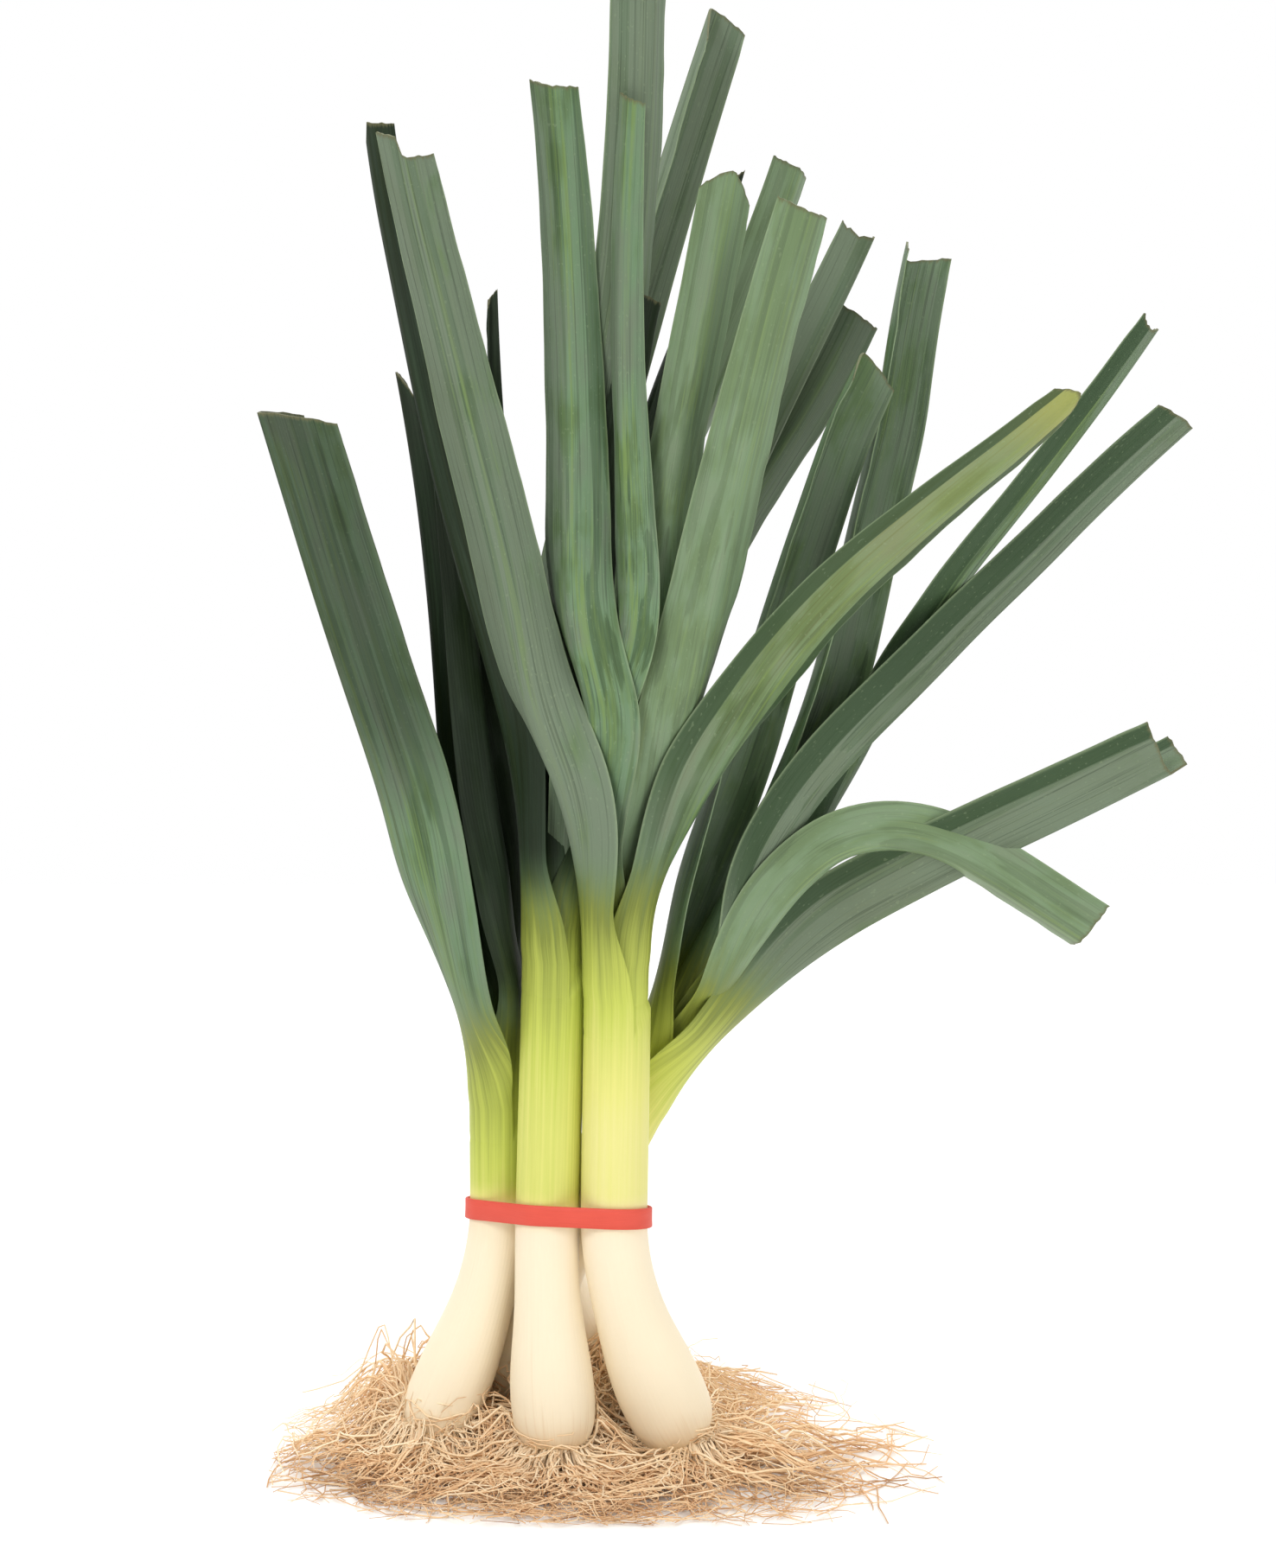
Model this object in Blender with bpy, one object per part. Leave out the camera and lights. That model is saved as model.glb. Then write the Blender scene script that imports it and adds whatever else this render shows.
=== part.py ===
"""A bunch of five leeks that stands on its roots, held together by a flat rubber band.

Metres, +Z up. The origin is on the surface that the bunch stands on, under the base plate of the
middle leek. +X is to the right and +Y to the back, as seen from the side with three shanks in a row.
"""

import math
import random
from dataclasses import dataclass
from itertools import combinations

import bmesh
import bpy
import numpy as np
from mathutils import Vector
from mathutils.bvhtree import BVHTree

MM = 0.001
GAP = 0.3 * MM  # between neighbouring pieces
TRIM_GAP = 0.25 * MM  # between a leaf's trimmed edge and the leaf that it meets
FLAT = math.radians(0.2)  # an edge between faces that turn less than this is dropped
SMOOTH_BELOW = math.radians(50)  # shading is smooth over an edge that turns less than this

# Shanks
FOOT_HEIGHT = 14 * MM  # the middle of the base plate above the surface
BAND_HEIGHT = 117 * MM
CORNERS = 12  # of a shank's cross-section: 30 degrees apart, as are those of a leaf's sheath
PLATE_RADIUS = 12.5 * MM
BULB_RADIUS = 18.5 * MM  # of a shank with a radius of SHANK_RADIUS
SHANK_RADIUS = 14 * MM
BULB_HEIGHT = 22 * MM  # above the base plate
BULB_LENGTH = 30 * MM
PLATE_ROUNDING = 11 * MM
SHANK_ROWS = (0, 1.5, 5, 12, 25, 40, 58, 74, 90)  # mm above the base plate, below the band
HEART = ((8, 1.0), (14, 0.6))  # mm above the last collar, and the share of the radius there

# Leaves
LEAF_THICKNESS = 1.0 * MM
ACROSS = 8  # facets across a leaf, so that a sheath wraps ACROSS corners of the shank
SHEATH_TURN = ACROSS * 360 / CORNERS  # degrees
SHEATH_LENGTH = 10 * MM
FLARE = 0.8 * MM  # by which a leaf stands off the next sheath where it opens
FLARE_LENGTH = 10 * MM
LEAN_STARTS = 18 * MM  # above the collar
LEAN_SETTLES = 62 * MM
SHEATH_ROWS = (0, 10, 22, 38, 60)  # mm above the collar, where a leaf unwraps
BLADE_FACET = 105 * MM
TURN_PER_ROW = 16  # degrees of lean between two rows of a blade at most
KEEL_SHARPNESS = 0.12
SECTION_POINTS = 97  # along each half of a cross-section, where its curve is added up
KEEL_POINTS = 161  # along a keel, where its curve is added up
BLADE_KEEL = 0.8  # the share of a blade's fold that lies at its keel
CREASE_FROM = 1.2  # in lengths of the opening, where the keel starts to be sharp
CREASE_FULLY = 2.7
SHEATH_STEP = LEAF_THICKNESS + GAP / math.cos(math.pi / CORNERS)
TIP_LENGTH = 55 * MM
TAPER_FROM = 0.3  # the share of a leaf's length from which it narrows

# How the blades lie on each other
CLEARANCE = 2.4 * MM  # level, between the middle surfaces of leaves
SETTLING_ROUNDS = 120
FREE_FROM = 24 * MM  # above its collar, where a blade starts to give way
FREE_FULLY = 70 * MM
EASED_OVER = 15  # how many places along a leaf a push is spread over
STEEPEST_PUSH = 0.4  # sideways for each metre along a blade
LEVEL_STEP = 6 * MM
TOP_LEVEL = 700 * MM
TRACED_ROWS = 90

# Roots
ROOT_RADIUS = 0.85 * MM
ROOTS_PER_LEEK = 15
ROOT_SEGMENTS = 5
ROOT_START = 7 * MM  # from the middle of the base plate
ROOT_DROP = 2 * MM  # from there to the surface
ROOT_CURL = 0.6  # of a root's turn from start to end, at most
ROOT_TAPER = 0.45
ROOT_LIFT = (1.0, 3.5)  # mm, the least and the greatest arch of a root
ROOT_REST = (0.2, 3.0)  # mm, above the surface
ROOT_REACH = (0.72, 1.0)  # as shares of the leek's reach
ROOT_SPREAD = 0.3  # of the angle between two roots, at most
MAT_MARGIN = 1.2 * MM  # between a leek's roots and the line halfway to its neighbour
MOUND_RADIUS = 27 * MM
MOUND_CORNERS = 12
MOUND_PROFILE = ((1.0, 0.0), (1.0, 1.2), (0.6, 3.0))  # share of the radius, and mm of height
MOUND_UNDER_PLATE = 0.9  # its top's radius, as a share of the base plate's

# Rubber band
BAND_WIDTH = 9 * MM
BAND_THICKNESS = 1.4 * MM
BAND_TILT = (-0.03, -0.17)  # rise for each metre to the right and to the back
BAND_CORNERS = 40


@dataclass(frozen=True)
class Leaf:
    """One leaf. Angles are in degrees and lengths in millimetres.

    lean is how far the keel leans from the vertical, to the right if positive, evenly spaced along
    the blade. toward is how far it leans to the front. keel says where the keel faces at the collar
    and at the tip: 0 is right, 90 front, 180 left and 270 back.
    """

    collar: float
    length: float
    lean: tuple
    toward: tuple
    keel: tuple
    width: float = 50
    fold: tuple = (110, 100)
    tip_width: float = 0.8
    slant: float = 4
    opening: float = 50
    droops: bool = False


@dataclass(frozen=True)
class Leek:
    """One leek: where its axis meets its base plate and the rubber band, and its slope above that.

    Places and radius are in millimetres. Leaves are listed from the outside in.
    """

    name: str
    foot: tuple
    band: tuple
    slope: tuple
    radius: float
    reach: float
    leaves: tuple


LEEKS = (
    Leek(
        "leek_left", foot=(-56, 20), band=(-25, 25), slope=(0.0, 0.03), radius=13, reach=78,
        leaves=(
            Leaf(148, 333, (-17, -20, -18, -16, -16), (2, 3, 2), (180, 160), 76, (100, 105), 0.95),
            Leaf(162, 285, (-1, -4, -6, -8), (-5, -6, -4), (0, 20), 40, (100, 90), 0.6),
            Leaf(
                176, 314, (-10, -10, -8, -9, -11), (-4, -6, -5), (180, 160), 50, (110, 100), 0.35, 10,
                70,
            ),
            Leaf(190, 240, (1, -2, -4), (-3, -4, -4), (0, 20), 32, (120, 100), 0.5, 4, 70),
        ),
    ),
    Leek(
        "leek_middle", foot=(0, 0), band=(-3.5, 7), slope=(0.03, 0.02), radius=14, reach=88,
        leaves=(
            Leaf(
                216, 380, (-3, -15, -17, -14, -11, -11, -6), (-1, -2, 0), (180, 165), 50, (105, 95),
                0.62,
            ),
            Leaf(230, 295, (12, 17, 17), (-6, -8, -8), (0, 30), 40, (105, 95), 0.7),
            Leaf(244, 158, (-7, -10, -11), (-3, -5, -5), (180, 160), 34, (115, 90), 0.4, 10, 70),
            Leaf(258, 414, (2, 3, 3, 2, 0), (-2, -3, -3), (0, 60), 42, (115, 90), 0.8, 4, 70),
        ),
    ),
    Leek(
        "leek_right", foot=(55, 13), band=(25.6, 2), slope=(0.016, 0.0), radius=14.6, reach=112,
        leaves=(
            Leaf(
                200, 400, (-2, -16, -17, -18, -15, -14, -10), (9, 14, 11, 8), (180, 100), 46, (105,
                95), 0.64,
            ),
            Leaf(214, 337, (22, 29, 41, 49, 51, 47), (9, 8, 5, 3), (0, 75), 46, (105, 90), 0.4, 8),
            Leaf(228, 379, (0, -1, -3, -5, -5, -5), (6, 8, 7), (180, 110), 44, (110, 80), 0.58),
            Leaf(242, 322, (21, 10, 12, 13, 16), (8, 10, 8), (0, 70), 46, (110, 80), 0.62),
            Leaf(256, 343, (-1, 0, 2, 4, 4), (0, 0, 1), (180, 120), 30, (120, 80), 0.5, 4, 70),
            Leaf(270, 303, (5, 11, 12, 11, 10), (-2, -2, -1), (0, 80), 34, (120, 80), 0.8, 4, 70),
        ),
    ),
    Leek(
        "leek_back_right", foot=(-22.5, 61), band=(12.7, 32), slope=(0.52, 0.05), radius=14.4, reach=80,
        leaves=(
            Leaf(146, 300, (46, 56, 60, 61, 62), (4, 5, 3), (0, 25), 74, (100, 110), 0.75),
            Leaf(157, 350, (20, 13, 13, 19, 25, 25), (-2, -6, -6), (180, 220), 50, (105, 90), 0.8, 4),
            Leaf(
                168, 260, (27, 36, 52, 90, 119, 123, 122), (12, 19, 12, 6), (0, 60), 39, (110, 90),
                0.95, droops=True,
            ),
            Leaf(179, 370, (31, 37, 39, 43, 47, 49), (0, -1, -1), (0, 25), 50, (110, 100), 0.8, 12),
            Leaf(
                190, 370, (25, 21, 11, 10, 13, 14), (-5, -10, -10), (180, 220), 52, (115, 90), 0.8,
                14, 70,
            ),
            Leaf(
                201, 396, (37, 40, 40, 39, 37, 34), (-9, -11, -11), (0, 20), 38, (120, 90), 0.6, 12,
                70,
            ),
        ),
    ),
    Leek(
        "leek_back", foot=(14, 104), band=(-7.6, 61), slope=(0.036, 0.055), radius=13.6, reach=86,
        leaves=(
            Leaf(214, 368, (22, 28, 28, 23), (-3, -4, -4), (0, 40), 42, (105, 90), 0.75, 12),
            Leaf(228, 293, (-8, -5, 1), (-8, -14, -14), (180, 220), 25, (105, 90), 0.3, 10),
            Leaf(242, 300, (24, 34, 34, 29, 24), (-3, -4, -4), (0, 75), 48, (110, 80), 0.9),
            Leaf(256, 400, (3, 11, 17, 19), (-6, -8, -9), (180, 210), 52, (115, 90), 0.75, 12, 60),
            Leaf(270, 316, (13, 21, 22, 18), (-3, -5, -6), (0, 60), 32, (115, 90), 0.8, 4, 70),
            Leaf(284, 302, (12, 21, 24, 19), (-7, -10, -10), (180, 210), 24, (120, 90), 0.25, 8, 70),
        ),
    ),
)

# The leaves by leek and number, from the frontmost to the backmost where they cross in the view
# from the front. A leek's name alone stands for its shank.
FRONT_TO_BACK = (
    "leek_right 2", "leek_right 1", "leek_right 4", "leek_right 3", "leek_right 5",
    "leek_right 6", "leek_right", "leek_middle 1", "leek_middle 2", "leek_middle 4",
    "leek_middle 3", "leek_middle", "leek_back_right 3", "leek_left 1", "leek_back_right 1",
    "leek_left 3", "leek_left 2", "leek_left 4", "leek_left", "leek_back_right 4",
    "leek_back_right 6", "leek_back_right 5", "leek_back_right 2", "leek_back_right",
    "leek_back 3", "leek_back 1", "leek_back 5", "leek_back 6", "leek_back 4", "leek_back 2",
    "leek_back",
)


def smooth(low, high, value):
    """0 below low, 1 above high and an S-curve between them."""
    share = np.clip((value - low) / (high - low), 0, 1)
    return share * share * (3 - 2 * share)


def axis_point(leek, height):
    """The middle of the shank at a height: a natural cubic up to the band, and straight above it."""
    rise = BAND_HEIGHT - FOOT_HEIGHT
    share = (height - FOOT_HEIGHT) / rise
    point = []
    for foot, band, slope in zip(leek.foot, leek.band, leek.slope):
        foot, band = foot * MM, band * MM
        if share > 1:
            point.append(band + slope * (height - BAND_HEIGHT))
            continue
        first = 1.5 * (band - foot) / rise - 0.5 * slope
        point.append(
            (2 * share**3 - 3 * share**2 + 1) * foot
            + (share**3 - 2 * share**2 + share) * rise * first
            + (3 * share**2 - 2 * share**3) * band
            + (share**3 - share**2) * rise * slope
        )
    return np.array([*point, height])


def axis_angles(leek, height):
    """(lean, toward) of the shank at a height, in degrees."""
    step = 0.5 * MM
    run = axis_point(leek, height + step) - axis_point(leek, height - step)
    x, y, z = run / np.linalg.norm(run)
    return math.degrees(math.atan2(x, z)), math.degrees(math.asin(-y))


def slope_at(leek, height):
    """How far the shank moves along each axis for each metre up."""
    step = 0.5 * MM
    return (axis_point(leek, height + step) - axis_point(leek, height - step)) / (2 * step)


def frame_of(lean, toward, facing):
    """(along, out, side): along a stem, out where facing points, and side square to both."""
    lean, toward, facing = (math.radians(a) for a in (lean, toward, facing))
    along = np.array([
        math.sin(lean) * math.cos(toward), -math.sin(toward), math.cos(lean) * math.cos(toward)
    ])
    right = np.array([math.cos(lean), 0, -math.sin(lean)])
    out = math.cos(facing) * right + math.sin(facing) * np.cross(right, along)
    return along, out, np.cross(along, out)


def shank_radius(leek, height):
    """The shank's radius at a height: a bulb over a rounded base plate, and a step at each collar."""
    above = max(height - FOOT_HEIGHT, 0)
    scale = leek.radius * MM / SHANK_RADIUS
    bulge = math.exp(-(((above - BULB_HEIGHT) / BULB_LENGTH) ** 2))
    radius = SHANK_RADIUS + (BULB_RADIUS - SHANK_RADIUS) * bulge
    if above < PLATE_ROUNDING:
        share = 1 - above / PLATE_ROUNDING
        radius += (PLATE_RADIUS - radius) * (1 - math.sqrt(1 - share * share))
    steps = sum(height >= leaf.collar * MM for leaf in leek.leaves)
    return radius * scale - steps * SHEATH_STEP


def mesh_object(name, points, faces, material):
    """A named object with one material and smooth shading on its gentle edges."""
    mesh = bpy.data.meshes.new(name)
    mesh.from_pydata([tuple(p) for p in points], [], faces)
    mesh.materials.append(material)
    mesh.shade_smooth()
    mesh.set_sharp_from_angle(angle=SMOOTH_BELOW)
    made = bpy.data.objects.new(name, mesh)
    bpy.context.scene.collection.objects.link(made)
    return made


def facing_out(made):
    """Turns all the faces of a closed mesh outwards."""
    work = bmesh.new()
    work.from_mesh(made.data)
    bmesh.ops.recalc_face_normals(work, faces=work.faces)
    work.to_mesh(made.data)
    work.free()
    return made


def lofted(name, rings, material):
    """A closed solid through rings of equally many points, from the bottom up, with flat ends."""
    count = len(rings[0])
    points = [p for ring in rings for p in ring]
    faces = [tuple(reversed(range(count))), tuple(range(len(points) - count, len(points)))]
    for level in range(len(rings) - 1):
        for i in range(count):
            low, high = level * count, (level + 1) * count
            j = (i + 1) % count
            faces.append((low + i, low + j, high + j, high + i))
    return facing_out(mesh_object(name, points, faces, material))


def shank_ring(leek, height, radius):
    """The corners of the shank's cross-section, the first where the leaves' fan faces."""
    lean, toward = axis_angles(leek, height)
    middle = axis_point(leek, height)
    ring = []
    for i in range(CORNERS):
        _, out, _ = frame_of(lean, toward, i * 360 / CORNERS)
        ring.append(middle + radius * out)
    return ring


def make_shank(leek, material):
    """The column from the base plate to the heart, which steps in above each leaf's collar."""
    last = max(leaf.collar for leaf in leek.leaves) * MM
    heights = [FOOT_HEIGHT + rise * MM for rise in SHANK_ROWS] + [BAND_HEIGHT]
    rings = [shank_ring(leek, h, shank_radius(leek, h)) for h in heights]
    for leaf in leek.leaves:
        step = leaf.collar * MM - GAP
        rings.append(shank_ring(leek, step, shank_radius(leek, step)))
        rings.append(shank_ring(leek, step + GAP / 10, shank_radius(leek, leaf.collar * MM)))
    top = shank_radius(leek, last)
    for rise, share in HEART:
        rings.append(shank_ring(leek, last + rise * MM, top * share))
    return lofted(f"{leek.name}_shank", rings, material)


def section(half_width, turn, keel, across):
    """(side, inward) offsets of a leaf's cross-section from its keel.

    turn is how far it curls in all, in degrees. keel is the share of it that lies at the keel: with
    none, the section is an arc, and with all of it, a sharp V.
    """
    fine = np.linspace(0, 1, SECTION_POINTS)
    crease = np.tanh(fine / KEEL_SHARPNESS) / math.tanh(1 / KEEL_SHARPNESS)
    angle = math.radians(turn) / 2 * ((1 - keel) * fine + keel * crease)
    step = np.diff(fine)
    middle = (angle[1:] + angle[:-1]) / 2
    side = half_width * np.concatenate([[0], np.cumsum(np.cos(middle) * step)])
    inward = half_width * np.concatenate([[0], np.cumsum(np.sin(middle) * step)])
    reach = np.abs(across)
    return np.sign(across) * np.interp(reach, fine, side), np.interp(reach, fine, inward)


class LeafShape:
    """The middle surface of a leaf, from its collar to its cut end."""

    def __init__(self, leek, leaf):
        self.leaf = leaf
        self.length = leaf.length * MM
        height = leaf.collar * MM
        self.ring = shank_radius(leek, height - GAP) - LEAF_THICKNESS / 2
        lean, toward = axis_angles(leek, height)
        along = np.linspace(0, self.length, KEEL_POINTS)
        rest = self.length - LEAN_SETTLES

        def spread(first, values):
            places = [0, LEAN_STARTS]
            places += [LEAN_SETTLES + rest * i / (len(values) - 1) for i in range(len(values))]
            return np.interp(along, places, [first, first, *values])

        self.along = along
        self.pushed = np.zeros((len(along), 2))
        self.lean = spread(lean, leaf.lean)
        self.toward = spread(toward, leaf.toward)
        turned = smooth(SHEATH_LENGTH, 0.5 * self.length, along)
        self.facing = leaf.keel[0] + (leaf.keel[1] - leaf.keel[0]) * turned
        frames = [frame_of(*angles) for angles in zip(self.lean, self.toward, self.facing)]
        self.axes = [np.array([frame[i] for frame in frames]) for i in range(3)]
        steps = np.diff(along)[:, None] * (self.axes[0][1:] + self.axes[0][:-1]) / 2
        start = axis_point(leek, height) + self.ring * self.axes[1][0]
        self.keel_line = start + np.concatenate([np.zeros((1, 3)), np.cumsum(steps, axis=0)])

    def at(self, values, place):
        """One of the leaf's values or vectors at a distance along its keel."""
        if values.ndim == 1:
            return np.interp(place, self.along, values)
        return np.array([np.interp(place, self.along, values[:, i]) for i in range(3)])

    def point(self, place, across):
        """A point of the surface: place is along the keel, and across runs from -1 to 1."""
        leaf = self.leaf
        near_tip = smooth(self.length - TIP_LENGTH, self.length, place)
        opening = leaf.opening * MM
        opened = smooth(SHEATH_LENGTH, SHEATH_LENGTH + opening, place)
        creased = BLADE_KEEL * smooth(CREASE_FROM * opening, CREASE_FULLY * opening, place)
        flare = FLARE * smooth(SHEATH_LENGTH, SHEATH_LENGTH + FLARE_LENGTH, place)
        fold = leaf.fold[0] + (leaf.fold[1] - leaf.fold[0]) * place / self.length
        turn = SHEATH_TURN + (fold - SHEATH_TURN) * opened
        wrapped = self.ring * math.radians(SHEATH_TURN) / 2
        half = wrapped + (leaf.width * MM / 2 - wrapped) * opened
        narrowed = max(place / self.length - TAPER_FROM, 0) / (1 - TAPER_FROM)
        half *= 1 - (1 - leaf.tip_width) * narrowed
        side, inward = section(half, turn, creased, across)
        slid = place - leaf.slant * MM * (1 + across) / 2 * near_tip
        _, out, sideways = (self.at(axis, slid) for axis in self.axes)
        point = self.at(self.keel_line, slid) + side * sideways + (flare - inward) * out
        point[0] += self.at(self.pushed[:, 0], slid)
        point[1] += self.at(self.pushed[:, 1], slid)
        return point

    def places(self):
        """Where the cross-sections are: close together round the collar, and further along the blade."""
        opening = [row * MM for row in SHEATH_ROWS]
        rest = self.length - opening[-1]
        turn = np.abs(np.diff(self.lean[self.along > LEAN_SETTLES])).sum()
        count = max(math.ceil(rest / BLADE_FACET), math.ceil(turn / TURN_PER_ROW))
        return opening + [opening[-1] + rest * i / count for i in range(1, count + 1)]

    def sections(self, levels):
        """(points, places): where each line along the leaf meets each level, up to its highest point."""
        places = np.linspace(0, self.length, TRACED_ROWS)
        lines = np.array([
            [self.point(place, 2 * i / ACROSS - 1) for place in places] for i in range(ACROSS + 1)
        ])
        points = np.full((len(levels), ACROSS + 1, 2), np.nan)
        met = np.full((len(levels), ACROSS + 1), np.nan)
        for i, line in enumerate(lines):
            top = line[:, 2].argmax() + 1
            rising = np.maximum.accumulate(line[:top, 2])
            inside = (levels >= rising[0]) & (levels <= rising[-1])
            met[inside, i] = np.interp(levels[inside], rising, places[:top])
            for axis in (0, 1):
                points[inside, i, axis] = np.interp(levels[inside], rising, line[:top, axis])
        return points, met


class Lying:
    """A leaf, or a shank if shape is None, cut at each level into a line that others may not cross."""

    def __init__(self, leek, shape, levels):
        self.owner, self.shape = leek.name, shape
        if shape:
            self.start, self.met = shape.sections(levels)
        else:
            self.start, self.met = np.full((len(levels), ACROSS + 1, 2), np.nan), None
            top = max(leaf.collar for leaf in leek.leaves) * MM
            for row, height in enumerate(levels):
                if BAND_HEIGHT < height < top:
                    radius = shank_radius(leek, height) / math.cos(math.pi / ACROSS)
                    for i in range(ACROSS + 1):
                        angle = math.tau * i / ACROSS
                        run = radius * np.array([math.cos(angle), math.sin(angle)])
                        self.start[row, i] = axis_point(leek, height)[:2] + run

    def lines(self):
        """The cut at each level, where the leaf now lies."""
        if not self.shape:
            return self.start
        along, pushed = self.shape.along, self.shape.pushed
        moved = [np.interp(self.met, along, pushed[:, axis]) for axis in (0, 1)]
        return self.start + np.stack(moved, axis=-1)

    def give_way(self, pushes):
        """Moves the leaf by the pushes at each level, less near its collar, and eases it."""
        along = self.shape.along
        places = self.met[:, ACROSS // 2]
        known = ~np.isnan(places)
        most = STEEPEST_PUSH * (along[1] - along[0])
        for axis in (0, 1):
            push = np.interp(along, places[known], pushes[known, axis])
            pushed = self.shape.pushed[:, axis] + push * smooth(FREE_FROM, FREE_FULLY, along)
            padded = np.pad(pushed, EASED_OVER // 2, mode="edge")
            eased = np.convolve(padded, np.full(EASED_OVER, 1 / EASED_OVER), "valid")
            steps = np.clip(np.diff(eased), -most, most)
            steps[along[1:] < FREE_FROM] = 0
            self.shape.pushed[:, axis] = np.concatenate([[0], np.cumsum(steps)])


def turned(a, b):
    """The cross product of vectors in the plane."""
    return a[..., 0] * b[..., 1] - a[..., 1] * b[..., 0]


def gaps_between(first, second):
    """The distance between the lines of each row, and 0 where they cross."""
    a, b = first[:, :-1, None], first[:, 1:, None]
    c, d = second[:, None, :-1], second[:, None, 1:]

    def to_segment(point, start, end):
        run = end - start
        share = ((point - start) * run).sum(-1) / np.maximum((run * run).sum(-1), 1e-12)
        return np.linalg.norm(point - start - share.clip(0, 1)[..., None] * run, axis=-1)

    nearest = np.minimum(
        np.minimum(to_segment(a, c, d), to_segment(b, c, d)),
        np.minimum(to_segment(c, a, b), to_segment(d, a, b)),
    )
    crossing = (turned(b - a, c - a) * turned(b - a, d - a) < 0) & (
        turned(d - c, a - c) * turned(d - c, b - c) < 0
    )
    nearest[crossing] = 0
    nearest[np.isnan(nearest)] = np.inf
    return nearest.min(axis=(1, 2))


def direction_of(first, second, one, other):
    """The way to push first from second: leaves of one leek apart, and the rest front and back."""
    if first.owner != second.owner or first.shape.leaf.droops or second.shape.leaf.droops:
        return np.tile([0.0, -1.0], (len(one), 1))
    away = np.nanmean(one, axis=1) - np.nanmean(other, axis=1)
    return away / np.maximum(np.linalg.norm(away, axis=1, keepdims=True), 1e-9)


def settle(shapes):
    """Pushes crossing leaves apart, level by level, until they lie on each other."""
    levels = np.arange(BAND_HEIGHT, TOP_LEVEL, LEVEL_STEP)
    lying = []
    for entry in FRONT_TO_BACK:
        name, _, number = entry.partition(" ")
        leek = next(leek for leek in LEEKS if leek.name == name)
        lying.append(Lying(leek, shapes.get((name, int(number or 0))), levels))
    pairs = [
        (i, j) for i, j in combinations(range(len(lying)), 2)
        if (lying[i].shape and lying[j].shape)
        or (lying[i].owner != lying[j].owner and (lying[i].shape or lying[j].shape))
    ]
    for _ in range(SETTLING_ROUNDS):
        lines = np.array([each.lines() for each in lying])
        low, high = np.nanmin(lines, axis=2), np.nanmax(lines, axis=2)
        pushes = np.zeros((len(lying), len(levels), 2))
        for i, j in pairs:
            touching = (low[i] < high[j] + CLEARANCE) & (low[j] < high[i] + CLEARANCE)
            rows = np.flatnonzero(touching.all(axis=1))
            if len(rows) == 0:
                continue
            one, other = lines[i, rows], lines[j, rows]
            lacking = (CLEARANCE - gaps_between(one, other)).clip(0)[:, None]
            push = lacking * direction_of(lying[i], lying[j], one, other)
            share = 0.5 if lying[i].shape and lying[j].shape else 1
            pushes[i, rows] += share * push
            pushes[j, rows] -= share * push
        for each, push in zip(lying, pushes):
            if each.shape:
                each.give_way(push)


def make_leaf(shape, name, material):
    """A leaf as one thin solid, split into triangles alike on both faces."""
    places = shape.places()
    rows, columns = len(places), ACROSS + 1
    grid = np.array([
        [shape.point(place, 2 * i / ACROSS - 1) for i in range(columns)] for place in places
    ])
    normal = np.cross(np.gradient(grid, axis=0), np.gradient(grid, axis=1))
    normal /= np.linalg.norm(normal, axis=2, keepdims=True)
    faces_of_grid = [grid + normal * LEAF_THICKNESS / 2, grid - normal * LEAF_THICKNESS / 2]
    points = np.concatenate([face.reshape(-1, 3) for face in faces_of_grid])
    under = rows * columns
    faces = []
    for row in range(rows - 1):
        for column in range(columns - 1):
            a = row * columns + column
            b, c, d = a + 1, a + columns + 1, a + columns
            faces += [(a, b, c), (a, c, d), (under + c, under + b, under + a),
                      (under + d, under + c, under + a)]
    rim = [row * columns for row in range(rows)]
    rim += [(rows - 1) * columns + column for column in range(1, columns)]
    rim += [row * columns + columns - 1 for row in range(rows - 2, -1, -1)]
    rim += list(range(columns - 2, 0, -1))
    for a, b in zip(rim, rim[1:] + rim[:1]):
        faces += [(a, b, under + b), (a, under + b, under + a)]
    return facing_out(mesh_object(name, points, faces, material))


def faces_of(made):
    """A search tree of the object's faces."""
    return BVHTree.FromPolygons(
        [v.co for v in made.data.vertices], [tuple(face.vertices) for face in made.data.polygons]
    )


def join_or_cut(made, operation, tool):
    """Applies a Boolean with another object."""
    change = made.modifiers.new("change", "BOOLEAN")
    change.operation = operation
    change.object = tool
    change.solver = "MANIFOLD"
    bpy.context.view_layer.objects.active = made
    bpy.ops.object.modifier_apply(modifier=change.name)


def swollen(made, by):
    """A copy of a closed object whose surface stands out by a distance."""
    copy = made.copy()
    copy.data = made.data.copy()
    bpy.context.scene.collection.objects.link(copy)
    work = bmesh.new()
    work.from_mesh(copy.data)
    moves = [vert.normal * vert.calc_shell_factor() * by for vert in work.verts]
    for vert, move in zip(work.verts, moves):
        vert.co += move
    work.to_mesh(copy.data)
    work.free()
    return copy


def trim_crossings(pieces):
    """Trims the edge of each piece that pokes through an earlier one, with a small gap to it."""
    trees = [faces_of(piece) for piece in pieces]
    for i, j in combinations(range(len(pieces)), 2):
        if not trees[i].overlap(trees[j]):
            continue
        tool = swollen(pieces[i], TRIM_GAP)
        join_or_cut(pieces[j], "DIFFERENCE", tool)
        bpy.data.objects.remove(tool)
        only_largest_shell(pieces[j])
        trees[j] = faces_of(pieces[j])


def free_run(leek, angle):
    """How far a leek's roots can run at an angle before the line halfway to a neighbour's foot."""
    own = np.array(leek.foot) * MM
    out = np.array([math.cos(angle), math.sin(angle)])
    free = math.inf
    for other in LEEKS:
        away = np.array(other.foot) * MM - own
        distance = np.linalg.norm(away)
        if distance > 0 and out @ away > 0:
            free = min(free, (distance / 2 - MAT_MARGIN) * distance / (out @ away))
    return free


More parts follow.
